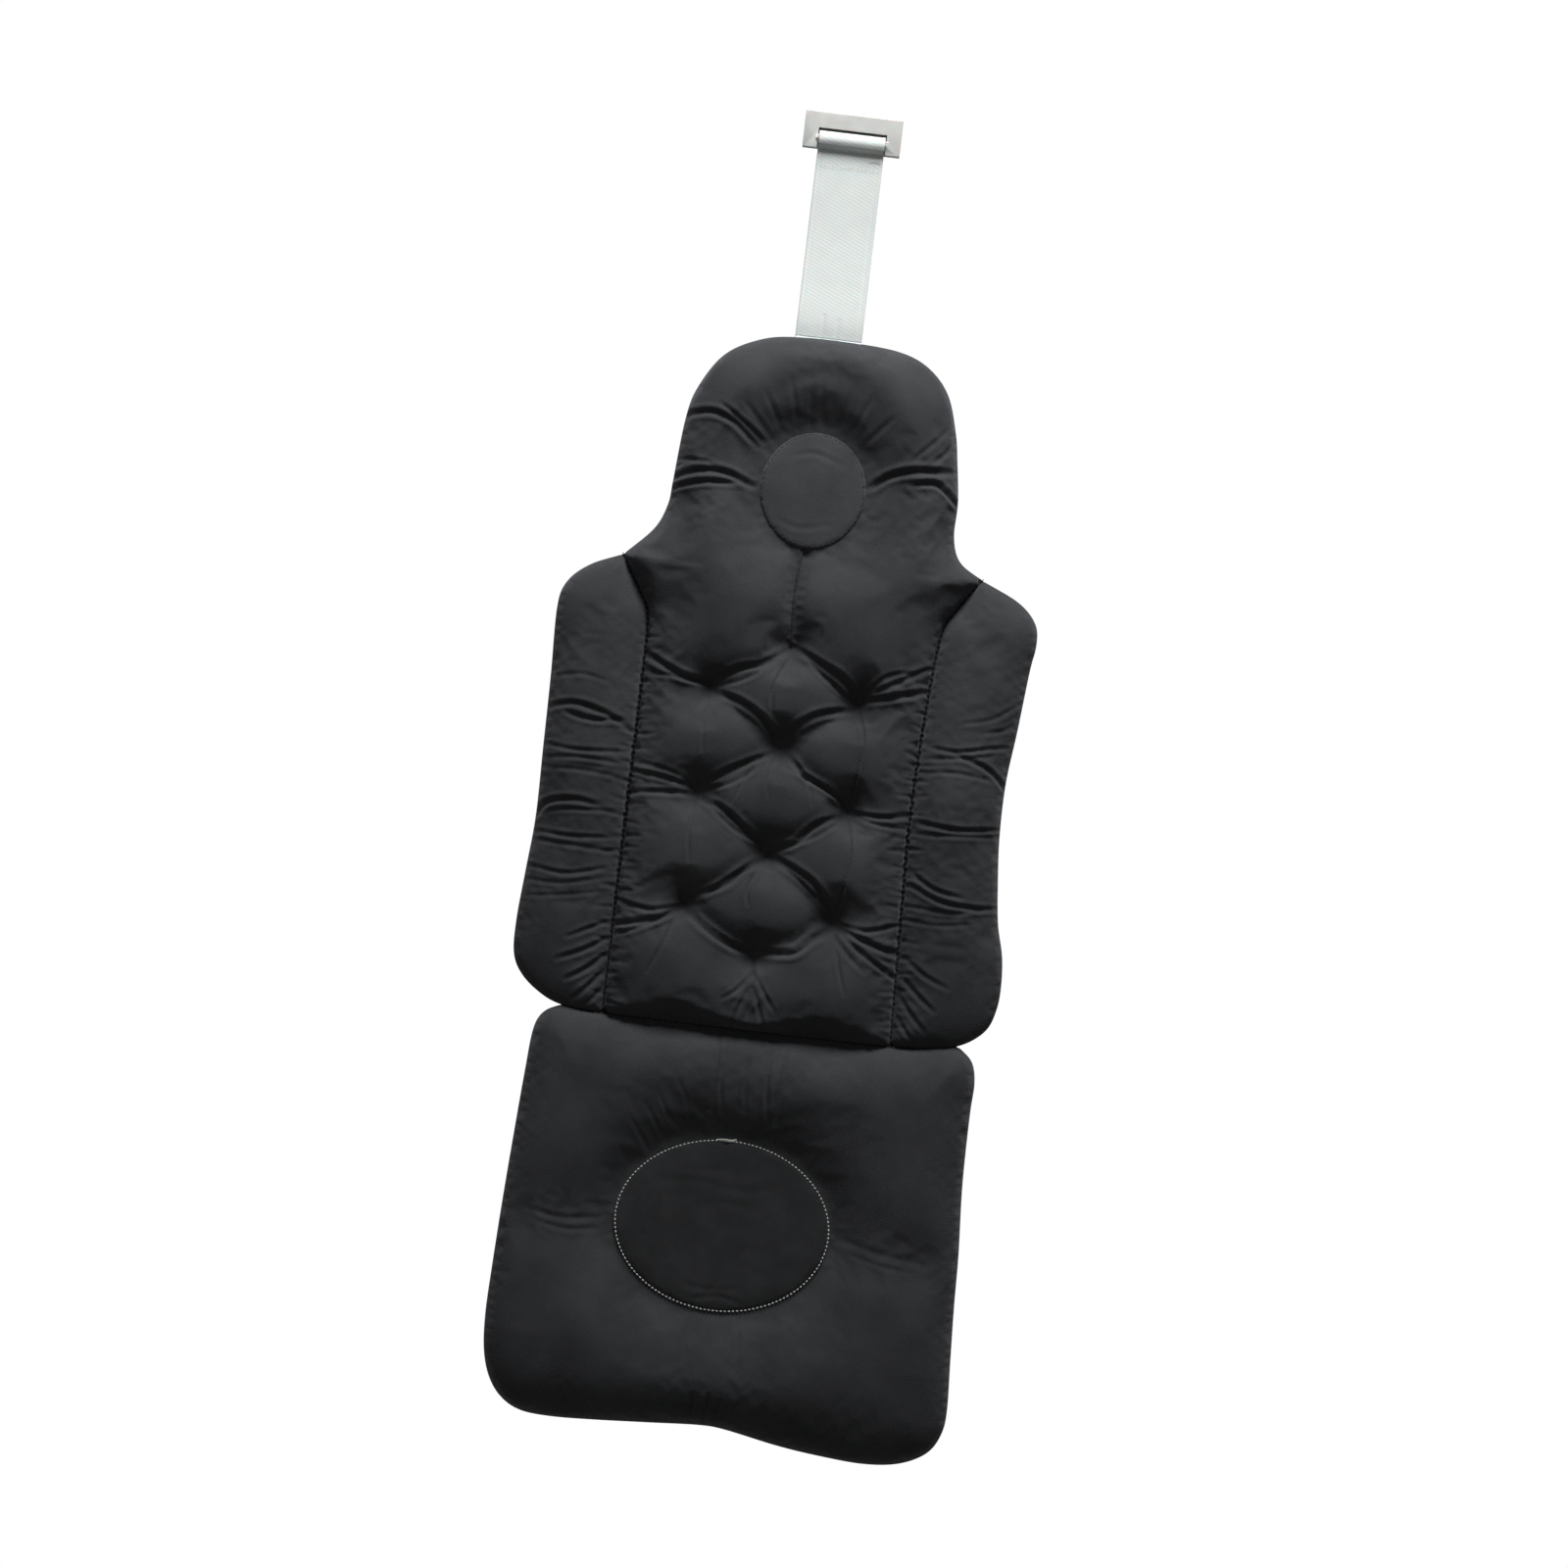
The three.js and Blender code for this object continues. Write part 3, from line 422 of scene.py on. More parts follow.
# Each fold is its line, depth and width.
BACK_FOLDS = [
    ([(-44, 306), (-30, 316), (-15, 321), (-2, 331)], 1.9, 2.2),
    ([(-42, 305), (-25, 311), (-8, 323)], 0.9, 1.6),
    ([(-44, 306), (-60, 309), (-72, 314), (-83, 320)], 2.2, 2.2),
    ([(-46, 306), (-65, 308), (-83, 309)], 0.9, 1.6),
    ([(41, 306), (30, 318), (18, 324), (2, 332)], 1.8, 2.2),
    ([(41, 305), (26, 313), (8, 327)], 0.9, 1.6),
    ([(42, 306), (58, 310), (80, 316)], 2.1, 2.2),
    ([(44, 309), (60, 318), (80, 330)], 1.1, 1.8),
    ([(43, 308), (56, 322), (76, 326)], 0.7, 1.6),
    ([(-42, 302), (-26, 298), (-12, 290), (-2, 279)], 2.2, 2.2),
    ([(40, 301), (20, 296), (8, 288), (1, 279)], 2.0, 2.2),
    ([(42, 300), (46, 285), (45, 265), (43, 249)], 1.7, 1.3),
    ([(-2, 324), (-8, 308), (-7, 292)], 1.1, 1.3),
    ([(-44, 247), (-32, 256), (-18, 264), (-4, 271)], 1.7, 2.0),
    ([(-42, 246), (-25, 252), (-8, 265)], 0.8, 1.6),
    ([(42, 246), (30, 254), (16, 260), (4, 271)], 1.7, 2.0),
    ([(40, 248), (22, 258), (6, 263)], 0.9, 1.6),
    ([(-45, 246), (-62, 250), (-83, 252)], 1.4, 1.8),
    ([(-45, 243), (-64, 242), (-83, 240)], 1.3, 1.8),
    ([(-46, 248), (-60, 254), (-80, 258)], 0.6, 1.6),
    ([(42, 243), (60, 242), (79, 245)], 1.5, 1.8),
    ([(42, 242), (60, 238), (79, 237)], 0.9, 1.6),
    ([(-42, 241), (-28, 236), (-14, 226), (-2, 218)], 2.0, 2.2),
    ([(-40, 240), (-22, 227), (-8, 220)], 1.0, 1.6),
    ([(40, 240), (26, 234), (14, 222), (2, 217)], 1.8, 2.2),
    ([(40, 238), (24, 226), (8, 218)], 0.9, 1.6),
    ([(43, 238), (46, 222), (45, 200), (43, 186)], 1.7, 1.3),
    ([(0, 213), (14, 208), (28, 200), (40, 185)], 2.0, 2.2),
    ([(2, 211), (20, 201), (36, 188)], 1.0, 1.6),
    ([(0, 212), (-12, 204), (-22, 194), (-40, 185)], 1.8, 2.2),
    ([(-4, 206), (-18, 200), (-32, 187)], 0.9, 1.6),
    ([(-44, 180), (-62, 175), (-83, 178)], 1.4, 1.8),
    ([(-44, 179), (-60, 170), (-83, 164)], 2.1, 2.2),
    ([(-46, 177), (-64, 166), (-83, 158)], 1.0, 1.6),
    ([(42, 180), (60, 177), (80, 183)], 1.2, 1.8),
    ([(42, 178), (58, 172), (70, 168), (80, 166)], 2.1, 2.2),
    ([(44, 176), (60, 164), (80, 152)], 1.4, 1.8),
    ([(-42, 177), (-30, 168), (-14, 160), (-2, 158)], 2.4, 2.4),
    ([(40, 176), (30, 168), (20, 160), (0, 158)], 2.4, 2.4),
    ([(42, 174), (50, 164), (62, 154)], 0.8, 1.8),
    ([(-1, 154), (0, 138), (-1, 116)], 1.6, 1.6),
    ([(-3, 268), (-5, 256), (-4, 246)], 0.6, 1.4),
    ([(-44, 302), (-45, 285), (-44, 268)], 0.7, 1.3),
    ([(-44, 241), (-46, 222), (-44, 205)], 0.7, 1.3),
    ([(-4, 206), (-9, 194), (-8, 184)], 0.9, 1.4),
    ([(-8, 270), (-18, 255), (-24, 240)], 0.6, 1.4),
    ([(8, 270), (18, 256), (22, 244)], 0.6, 1.4),
    ([(-46, 178), (-52, 160), (-60, 140)], 0.7, 1.5),
    ([(43, 177), (46, 160), (52, 140)], 0.7, 1.5),
    ([(0, 146), (-9, 135), (-16, 130)], 0.8, 1.6),
    ([(0, 146), (8, 134), (14, 126)], 0.8, 1.6),
    ([(-1, 138), (-6, 126), (-9, 115)], 0.9, 1.6),
    ([(1, 138), (6, 124), (9, 115)], 0.9, 1.6),
    ([(-77, 456), (-62, 459), (-48, 455), (-34, 444)], 2.0, 2.2),
    ([(-56, 464), (-42, 455), (-30, 446)], 1.4, 1.8),
    ([(-80, 420), (-66, 425), (-50, 426), (-32, 420)], 2.2, 2.2),
    ([(-80, 414), (-62, 419), (-42, 421)], 1.6, 1.8),
    ([(-80, 431), (-66, 431), (-54, 429)], 0.6, 1.6),
    ([(33, 427), (44, 435), (58, 439), (80, 441)], 2.4, 2.4),
    ([(56, 431), (70, 433), (84, 423)], 2.0, 2.0),
    ([(66, 444), (74, 452), (79, 462)], 0.8, 1.8),
    ([(54, 444), (66, 456), (74, 466)], 0.6, 1.8),
]
GATHER_DEPTH = 0.4
GATHER_WIDTH = 2.0
for root, tip in (((-26, 449), (-44, 468)), ((-20, 453), (-32, 474)), ((-12, 457), (-18, 482)),
                  ((-5, 458), (-7, 488)), ((1, 459), (0, 484)), ((6, 459), (9, 490)),
                  ((12, 458), (17, 484)), ((19, 455), (28, 478)), ((26, 450), (42, 468))):
    middle = ((root[0] + tip[0]) / 2, (root[1] + tip[1]) / 2)
    BACK_FOLDS.append(([root, middle, tip], GATHER_DEPTH, GATHER_WIDTH))
PUCKER_SCATTER = 1.5
PUCKER_REACH = (6, 11)
PUCKER_DRIFT = 2
PUCKER_DEPTH = (0.2, 0.45)
PUCKER_WIDTH = 1.5


def puckers(seam, side, low, high, pitch, seed):
    """Short folds square to a seam, where its thread gathers the cloth on one side of it."""
    rng = np.random.default_rng(seed)
    line = smooth_run(seam, 1.0)
    folds = []
    for y in np.arange(low, high, pitch):
        x, y = line[np.abs(line[:, 1] - y - rng.uniform(-PUCKER_SCATTER, PUCKER_SCATTER)).argmin()]
        reach = rng.uniform(*PUCKER_REACH)
        drift = rng.uniform(-PUCKER_DRIFT, PUCKER_DRIFT)
        folds.append(([(x, y), (x + side * reach / 2, y + drift / 2), (x + side * reach, y + drift)],
                      rng.uniform(*PUCKER_DEPTH), PUCKER_WIDTH))
    return folds


SEAM_FOLD_DEPTH = 0.9
SEAM_FOLD_WIDTH = 1.6
BACK_FOLDS += puckers(HEAD_SEAM_L, side=1, low=120, high=330, pitch=8, seed=1)
BACK_FOLDS += puckers(HEAD_SEAM_R, side=-1, low=120, high=335, pitch=8, seed=2)
BACK_FOLDS += [(seam, SEAM_FOLD_DEPTH, SEAM_FOLD_WIDTH) for seam in (HEAD_SEAM_L, HEAD_SEAM_R)]


def oval(panel, grow):
    x, y, half_x, half_y = panel
    angles = np.linspace(0, 2 * math.pi, OVAL_POINTS, endpoint=False)
    return np.column_stack([x + (half_x + grow) * np.cos(angles), y + (half_y + grow) * np.sin(angles)])


def ring(panel, grow, spacing):
    """Evenly spaced points round the panel's oval, grown by that much."""
    loop = oval(panel, grow)
    return smooth_run(np.vstack([loop, loop[:1]]), spacing)[:-1]


def beyond(flat, loop):
    """Distance outside the loop, and nothing inside it."""
    return to_loop(flat, loop) * ~inside(flat, loop)


TUFT_HEIGHT = 2.5
PANEL_HEIGHT = 6.5
CHEST_HEIGHT = 6.0
TUFT_NEIGHBOUR = 56
WAIST_ROLL = 7
WAIST_ROLL_SWELL = 8
back_outline = closed_outline([WAIST, HEAD_SEAM_R[::-1], HEAD_ROUND[::-1], HEAD_SEAM_L], SPACING)
head_rings = np.vstack([ring(HEAD_PANEL, grow, SPACING) for grow in (SEAM_MARGIN, -SEAM_MARGIN)])
back_net = cloth_net(back_outline, SPACING, np.vstack([TUFTS, CHEST_SEAM, head_rings]), seed=3)
plan = back_net[0]
tuft_gap = to_points(plan, TUFTS)
chest_gap = to_points(plan, CHEST_SEAM)
panel_gap = beyond(plan, oval(HEAD_PANEL, SEAM_MARGIN))
rim = [smooth_run(line, LINE_SPACING) for line in (HEAD_ROUND, HEAD_SEAM_L, HEAD_SEAM_R)]
rim_gap = np.min([to_line(plan, line) for line in rim], 0)
waist_gap = to_line(plan, WAIST)
# The waist's edge rolls tightly at its middle and its ends and more softly between them.
waist_roll = WAIST_ROLL + WAIST_ROLL_SWELL * np.sin(np.pi * plan[:, 0] / HALF_WAIST) ** 2
fullness = crown(rim_gap, roll=38) * crown(waist_gap, waist_roll)
fullness *= drawn_in(waist_gap, depth=0.28, reach=22)
for tuft in TUFTS:
    fullness *= drawn_in(to_points(plan, [tuft]), depth=0.86, reach=13, power=1.15)
for start in TUFTS:
    for end in TUFTS:
        if start < end and math.dist(start, end) < TUFT_NEIGHBOUR:
            fullness *= drawn_in(to_line(plan, [start, end]), depth=0.2, reach=6)
fullness *= drawn_in(chest_gap, depth=0.58, reach=6, power=1.2)
fullness *= drawn_in(panel_gap, depth=0.68, reach=17, power=1.4)
back_pins = [(tuft_gap < ON_SEAM, TUFT_HEIGHT, True), (panel_gap < ON_SEAM, PANEL_HEIGHT, True),
             (chest_gap < ON_SEAM, CHEST_HEIGHT, False)]
back_cushion = cushion("back_cushion", back_net, back_outline, fullness, lofts=(21.5, 22), pins=back_pins,
                       growth=0.015, cap=9, folds=BACK_FOLDS)


def dress(piece, *nodes, fill):
    """Clothes a cushion in the knit and hides the solids that it stands for. fill is not used."""
    piece.data.materials.clear()
    piece.data.materials.append(CHARCOAL_KNIT)
    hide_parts(*nodes)


dress(back_cushion, "back_front_cover", "back_rear_cover", "back_filling", fill=0.7)
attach(back_cushion, "back_pad")

# Tuft ties
# Ten ties of doubled black polyester thread. Each goes through the pad at a tuft and is crossed over
# itself in the pit on both faces. A thick black thread lies along the chest seam: partly its stitching,
# partly painted shade of the seam's groove.
THREAD_RADIUS = 0.42
CHEST_THREAD_RADIUS = 0.75
CHEST_THREAD_LIFT = 0.1
CHEST_THREAD_LINE = [(-1, 387), (-2.5, 362), (-1, 335)]
ABOVE_CLOTH = 80
TIE_TURNS = (0.5, 2.1)
TIE_REACH = 2.1
TIE_TOP = 3.4
TIE_BEND = 1.6
TIE_CORE = 3.2


def thread_piece(name, runs, radius, material):
    """Round thread laid along runs of grid points, closed at its ends."""
    curve = bpy.data.curves.new(name, "CURVE")
    curve.dimensions = "3D"
    curve.bevel_depth = radius / 1000
    curve.bevel_resolution = 2
    curve.use_fill_caps = True
    for run in runs:
        spline = curve.splines.new("POLY")
        spline.points.add(len(run) - 1)
        for point, place in zip(spline.points, run):
            point.co = (*at(*place), 1)
    laid = in_scene(name, curve)
    mesh = bpy.data.meshes.new_from_object(laid.evaluated_get(bpy.context.evaluated_depsgraph_get()))
    bpy.data.objects.remove(laid)
    mesh.materials.clear()
    mesh.materials.append(material)
    return place_piece(name, mesh)


def spun_thread(name, colour, twist_pitch):
    """Spun polyester sewing thread: satin, with a faint twist that catches the light."""
    material, tree, shader = new_material(name, colour, 0.6)
    shader.inputs["Sheen Weight"].default_value = 0.05
    twist = add_node(tree, "ShaderNodeTexWave", [("Vector", millimetres(tree))],
                     [("Scale", WAVE / twist_pitch), ("Distortion", 0.5)], bands_direction="DIAGONAL")
    raise_relief(tree, shader, twist.outputs["Fac"], strength=0.5, height=0.00008)
    return material


BLACK_THREAD = spun_thread("black_spun_thread", "#161718", twist_pitch=0.35)
tie_runs = []
for x, y in TUFTS:
    for turn in TIE_TURNS:
        for face in (1, -1):
            arc = []
            for step in np.linspace(-1, 1, 9):
                reach = TIE_REACH * step
                height = SEAM_HEIGHT + face * (TIE_TOP - TIE_BEND * step**2)
                arc.append((x + reach * math.cos(turn), y + reach * math.sin(turn), height))
            tie_runs.append(arc)
    tie_runs.append([(x, y, SEAM_HEIGHT - TIE_CORE), (x, y, SEAM_HEIGHT + TIE_CORE)])
ties = thread_piece("tuft_ties", tie_runs, THREAD_RADIUS, BLACK_THREAD)
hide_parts(*[f"tuft_tie_{i + 1:02d}" for i in range(len(TUFTS))])
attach(ties, "back_pad")
# The chest seam's thread lies on the cloth, thick and black: real stitching, widened into painted shade
# for the seam's deep groove.
cloth = BVHTree.FromObject(back_cushion, bpy.context.evaluated_depsgraph_get())
chest_run = []
for x, y in smooth_run(CHEST_THREAD_LINE, 1.0):
    landing = cloth.ray_cast(at(x, y, ABOVE_CLOTH), Vector((0, 0, -1)))[0]
    chest_run.append((x, y, landing.z * 1000 + CHEST_THREAD_LIFT))
chest_thread = thread_piece("chest_seam_thread_and_painted_shade", [chest_run], CHEST_THREAD_RADIUS, BLACK_THREAD)
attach(chest_thread, "back_pad")

# Head panel
# An oval of the same brushed knit over the sunk middle of the head ring, sewn round its edge through
# both layers and domed a little by the fibre below it. Its knit is coloured lighter than the rest:
# painted light, for the head lying nearest the lamp.
HEAD_KNIT_PAINTED_LIGHT = knit_cloth("brushed_panel_knit_painted_light", "#323335", "#444547", sheen=0.3)
PANEL_SPACING = 2.0
PANEL_LIFT = 6.7
PANEL_ROLL = 14
PANEL_EDGE_LIFT = 0.5
PANEL_EDGE_ROLL = 1.5
PANEL_BACK = 0.3
RING_SPACING = 1.5


def sewn_panel(name, panel, dome, folds, material):
    """An oval of cloth, sewn down at its edge and a little full in the middle."""
    loop = ring(panel, 0, PANEL_SPACING)
    flat, faces = cloth_net(loop, PANEL_SPACING, np.array([panel[:2]], float), seed=21)
    gap = to_loop(flat, loop)
    top = dome * crown(gap, PANEL_ROLL) + PANEL_EDGE_LIFT * crown(gap, PANEL_EDGE_ROLL)
    bottom = np.full(len(flat), PANEL_BACK)
    piece, _ = two_layers(name, flat, faces, top, bottom, gap < ON_SEAM, SEAM_HEIGHT + PANEL_LIFT)
    soft = piece.modifiers.new("soft", "SUBSURF")
    soft.levels = soft.render_levels = 1
    settled(piece)
    press_folds(piece, folds)
    piece.data.materials.append(material)
    return piece


head_panel = sewn_panel("head_panel_cloth", HEAD_PANEL, dome=1.6, folds=[
    ([(-14, 440), (0, 443), (16, 438)], 0.25, 2.0),
    ([(-18, 404), (-4, 400), (14, 404)], 0.2, 2.0),
], material=HEAD_KNIT_PAINTED_LIGHT)
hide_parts("head_panel")
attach(head_panel, "back_pad")


def stitch_row(name, lines, material, pitch, length, thickness):
    """Rows of thread stitches along lines of grid points."""
    places, joins = [], []
    for line in lines:
        joins += [(len(places) + i, len(places) + i + 1) for i in range(len(line) - 1)]
        places += [at(*place) for place in line]
    guide = bpy.data.meshes.new(name)
    guide.from_pydata(places, joins, [])
    row = place_piece(name, guide)
    tree = bpy.data.node_groups.new(name, "GeometryNodeTree")
    tree.interface.new_socket("Geometry", in_out="INPUT", socket_type="NodeSocketGeometry")
    tree.interface.new_socket("Geometry", in_out="OUTPUT", socket_type="NodeSocketGeometry")
    sizes = {"Stitch pitch": pitch, "Stitch length": length, "Thread thickness": thickness}
    sockets = [tree.interface.new_socket(label, in_out="INPUT", socket_type="NodeSocketFloat")
               for label in sizes]
    given = add_node(tree, "NodeGroupInput")
    path = add_node(tree, "GeometryNodeMeshToCurve", [("Mesh", given.outputs["Geometry"])])
    stops = add_node(tree, "GeometryNodeResampleCurve",
                     [("Curve", path.outputs["Curve"]), ("Length", given.outputs["Stitch pitch"])],
                     mode="LENGTH")
    bead = add_node(tree, "GeometryNodeMeshUVSphere", [], [("Segments", 8), ("Rings", 5), ("Radius", 0.5)])
    size = add_node(tree, "ShaderNodeCombineXYZ",
                    [("X", given.outputs["Stitch length"]), ("Y", given.outputs["Thread thickness"]),
                     ("Z", given.outputs["Thread thickness"])])
    stitch = add_node(tree, "GeometryNodeTransform",
                      [("Geometry", bead.outputs["Mesh"]), ("Scale", size.outputs[0])])
    tangent = add_node(tree, "GeometryNodeInputTangent")
    turn = add_node(tree, "FunctionNodeAlignRotationToVector", [("Vector", tangent.outputs[0])], axis="X")
    sown = add_node(tree, "GeometryNodeInstanceOnPoints",
                    [("Points", stops.outputs["Curve"]), ("Instance", stitch.outputs["Geometry"]),
                     ("Rotation", turn.outputs["Rotation"])])
    real = add_node(tree, "GeometryNodeRealizeInstances", [("Geometry", sown.outputs["Instances"])])
    coat = add_node(tree, "GeometryNodeSetMaterial", [("Geometry", real.outputs["Geometry"])],
                    [("Material", material)])
    add_node(tree, "NodeGroupOutput", [("Geometry", coat.outputs["Geometry"])])
    sewing = row.modifiers.new("sewing", "NODES")
    sewing.node_group = tree
    for socket, value in zip(sockets, sizes.values()):
        sewing[socket.identifier] = value / 1000
    return settled(row)


def ring_line(panel, grow, lift):
    """A closed line for stitches, round the panel's oval grown by that much, lifted above the seam."""
    line = [(x, y, SEAM_HEIGHT + lift) for x, y in ring(panel, grow, RING_SPACING)]
    return line + line[:1]


head_ring = ring_line(HEAD_PANEL, grow=-1.6, lift=7.6)
head_stitches = stitch_row("head_panel_stitches", [head_ring], BLACK_THREAD, pitch=2.9, length=2.4,
                           thickness=0.5)
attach(head_stitches, "back_pad")

# Sewn seams
# Where the chambers meet, both layers are sewn flat together: a narrow tape of doubled knit with a
# row of black lockstitch, which the bolsters and the seat fold on. The tape is coloured near-black:
# painted shade, standing in for the shade deep in the seam valleys.


def tape(name, line, width, thick, material):
    """A flat band along a line of grid points at seam height."""
    line = np.array(line, float)
    along = np.gradient(line, axis=0)
    along /= np.hypot(*along.T)[:, None]
    aside = np.column_stack([-along[:, 1], along[:, 0]]) * width / 2
    corners = []
    for side, height in ((1, 1), (-1, 1), (-1, -1), (1, -1)):
        flat = line + side * aside
        corners.append([at(x, y, SEAM_HEIGHT + height * thick / 2) for x, y in flat])
    count = len(line)
    faces = [(i + a * count, i + b * count, i + 1 + b * count, i + 1 + a * count)
             for a, b in ((0, 1), (1, 2), (2, 3), (3, 0)) for i in range(count - 1)]
    faces += [(0, 3 * count, 2 * count, count), (count - 1, 2 * count - 1, 3 * count - 1, 4 * count - 1)]
    mesh = bpy.data.meshes.new(name)
    mesh.from_pydata([p for corner in corners for p in corner], [], [f[::-1] for f in faces])
    mesh.materials.append(material)
    return place_piece(name, mesh)


SEAT_SEAM = [(-106, 114.6), (-96, 113.3), (-83, 112.7), (0, 112.5), (82, 112.7), (100, 113.9),
             (119, 117.3)]
seam_lines = {"seat_seam": smooth_run(SEAT_SEAM, LINE_SPACING),
              "left_bolster_seam": smooth_run(HEAD_SEAM_L, LINE_SPACING),
              "right_bolster_seam": smooth_run(HEAD_SEAM_R, LINE_SPACING)}
# The tapes' knit is near-black, far darker than the pillow's own knit: painted shade for the seam valleys.
SEAM_SHADE_KNIT = knit_cloth("seam_knit_painted_shade", "#0b0b0c", "#101011", sheen=0)
for node, line in seam_lines.items():
    band = tape(f"{node}_tape_painted_shade", line, width=3.4, thick=1.4, material=SEAM_SHADE_KNIT)
    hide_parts(node)
    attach(band, "back_pad")
STITCH_HEIGHT = SEAM_HEIGHT + 0.8
seam_rows = [[(x, y, STITCH_HEIGHT) for x, y in line] for line in seam_lines.values()]
seam_stitches = stitch_row("seam_stitches", seam_rows, BLACK_THREAD, pitch=3.2, length=2.6, thickness=0.6)
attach(seam_stitches, "back_pad")

# Bolsters
# A long stuffed roll down each side of the back, of the same knit, closed by the seam that it folds
# on. Its cloth is a little long for its seam, so fine folds cross it and fan out at its foot.
BOLSTER_L = [(-83, 113), (-96, 113.5), (-108, 115), (-118, 119), (-130, 128), (-137, 140), (-138, 160),
             (-136, 190), (-134, 220), (-134.5, 260), (-135, 300), (-136, 340), (-132, 355),
             (-120, 366), (-102, 374)]
BOLSTER_R = [(82, 113), (100, 114), (121, 118), (135, 128), (140, 141), (141, 155), (139.5, 172),
             (135, 190), (132, 215), (130, 240), (130, 270), (133, 300), (136, 335), (138, 350),
             (136, 362), (125, 373), (103, 383)]
FOLDS_L = [
    ([(-134, 283), (-118, 286), (-100, 282), (-86, 275)], 1.6, 2.0),
    ([(-124, 281), (-108, 278), (-90, 280)], 1.3, 1.8),
    ([(-134, 262), (-115, 260), (-86, 262)], 0.8, 1.6),
    ([(-132, 254), (-112, 256), (-86, 255)], 0.7, 1.6),
    ([(-132, 248), (-110, 249), (-86, 247)], 0.5, 1.6),
    ([(-134, 220), (-127, 229), (-112, 232), (-98, 230)], 1.6, 2.0),
    ([(-130, 222), (-118, 226), (-86, 228)], 0.7, 1.6),
    ([(-135, 212), (-112, 211), (-86, 213)], 0.8, 1.6),
    ([(-135, 207), (-110, 206), (-88, 205)], 0.6, 1.6),
    ([(-136, 192), (-112, 190), (-88, 196)], 0.8, 1.6),
    ([(-136, 184), (-115, 184), (-92, 189)], 0.5, 1.6),
    ([(-137, 174), (-110, 178), (-90, 182)], 0.4, 1.6),
    ([(-84, 156), (-97, 148), (-112, 141)], 1.2, 1.8),
    ([(-84, 147), (-95, 137), (-106, 130)], 1.3, 1.8),
    ([(-84, 138), (-92, 128), (-101, 119)], 1.2, 1.8),
    ([(-84, 128), (-90, 120), (-95, 116)], 0.9, 1.6),
    ([(-84, 166), (-96, 160), (-108, 154)], 0.7, 1.6),
    ([(-134, 300), (-116, 303), (-100, 300)], 0.4, 1.6),
]
FOLDS_R = [
    ([(82, 285), (100, 284), (118, 288), (130, 290)], 0.9, 1.6),
    ([(98, 283), (118, 276), (130, 266)], 1.2, 1.8),
    ([(82, 278), (104, 281), (120, 284)], 0.6, 1.6),
    ([(81, 270), (100, 272), (122, 270)], 0.5, 1.6),
    ([(81, 242), (105, 240), (130, 243)], 1.4, 1.8),
    ([(82, 235), (108, 237), (130, 239)], 0.7, 1.6),
    ([(82, 213), (96, 205), (112, 202)], 1.0, 1.8),
    ([(82, 206), (100, 199), (118, 197), (134, 198)], 1.5, 1.8),
    ([(82, 194), (105, 193), (124, 196)], 0.6, 1.6),
    ([(82, 186), (100, 185), (120, 188)], 0.4, 1.6),
    ([(82, 166), (96, 156), (110, 150)], 0.7, 1.8),
    ([(83, 154), (94, 144), (104, 136)], 0.9, 1.8),
    ([(83, 143), (92, 132), (100, 124)], 0.9, 1.8),
    ([(83, 132), (90, 122), (96, 117)], 0.8, 1.6),
    ([(100, 300), (118, 305), (133, 316)], 0.5, 1.6),
    ([(112, 296), (124, 299), (132, 304)], 0.5, 1.6),
]
# How full a bolster is along its length, as heights on the grid and shares of its fullest.
FILL_PLACES = (115, 170, 255, 372)
FILL_SHARES = (0.32, 0.66, 1, 0.7)
for side, outer, seam, folds in (("left", BOLSTER_L, HEAD_SEAM_L, FOLDS_L),
                                 ("right", BOLSTER_R, HEAD_SEAM_R, FOLDS_R)):
    outline = closed_outline([seam, outer], SPACING)
    net = cloth_net(outline, SPACING, np.array([outline.mean(0)]), seed=5)
    low, high = np.array(seam[-1], float), np.array(seam[0], float)
    across = np.sign(low[0])
    folds += puckers(seam, across, low=125, high=290, pitch=10, seed=3)
    folds.append((seam, SEAM_FOLD_DEPTH, SEAM_FOLD_WIDTH))
    fullness = crown(to_loop(net[0], outline), roll=24) * np.interp(net[0][:, 1], FILL_PLACES, FILL_SHARES)
    bolster = cushion(f"{side}_bolster_cushion", net, outline, fullness, lofts=(20.5, 22), pins=[],
                      growth=0.006, cap=7, folds=folds)
    dress(bolster, *[f"{side}_bolster_{n}" for n in ("front_cover", "rear_cover", "filling")], fill=0.8)
    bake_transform(bolster)

# Seat
# The fold-down cushion below the waist seam: the same two layers of knit, stuffed into a soft ring
# round an oval panel that is sewn through to the rear layer.
SEAT_ROUND = [(-107, 114.8), (-116, 110), (-121, 100), (-123, 75), (-125, 40), (-127, 0), (-128.5, -40),
              (-129, -65), (-127.5, -85), (-123, -100), (-115, -111), (-103, -117.5), (-85, -119),
              (-60, -118), (-30, -116), (0, -114), (15, -115), (45, -120.5), (70, -123.5), (95, -125),
              (115, -122.5), (130, -115), (137, -104), (139, -90), (137.5, -60), (136, -30), (135, 0),
              (132.5, 40), (132, 80), (132.5, 98), (129.5, 110), (121, 117.5)]
SEAT_TOP = [(121, 117.5), (100, 113.8), (82, 112.5), (0, 112.5), (-83, 112.5), (-96, 113.2),
            (-107, 114.8)]
SEAT_PANEL = (-1, 1, 61.5, 49)
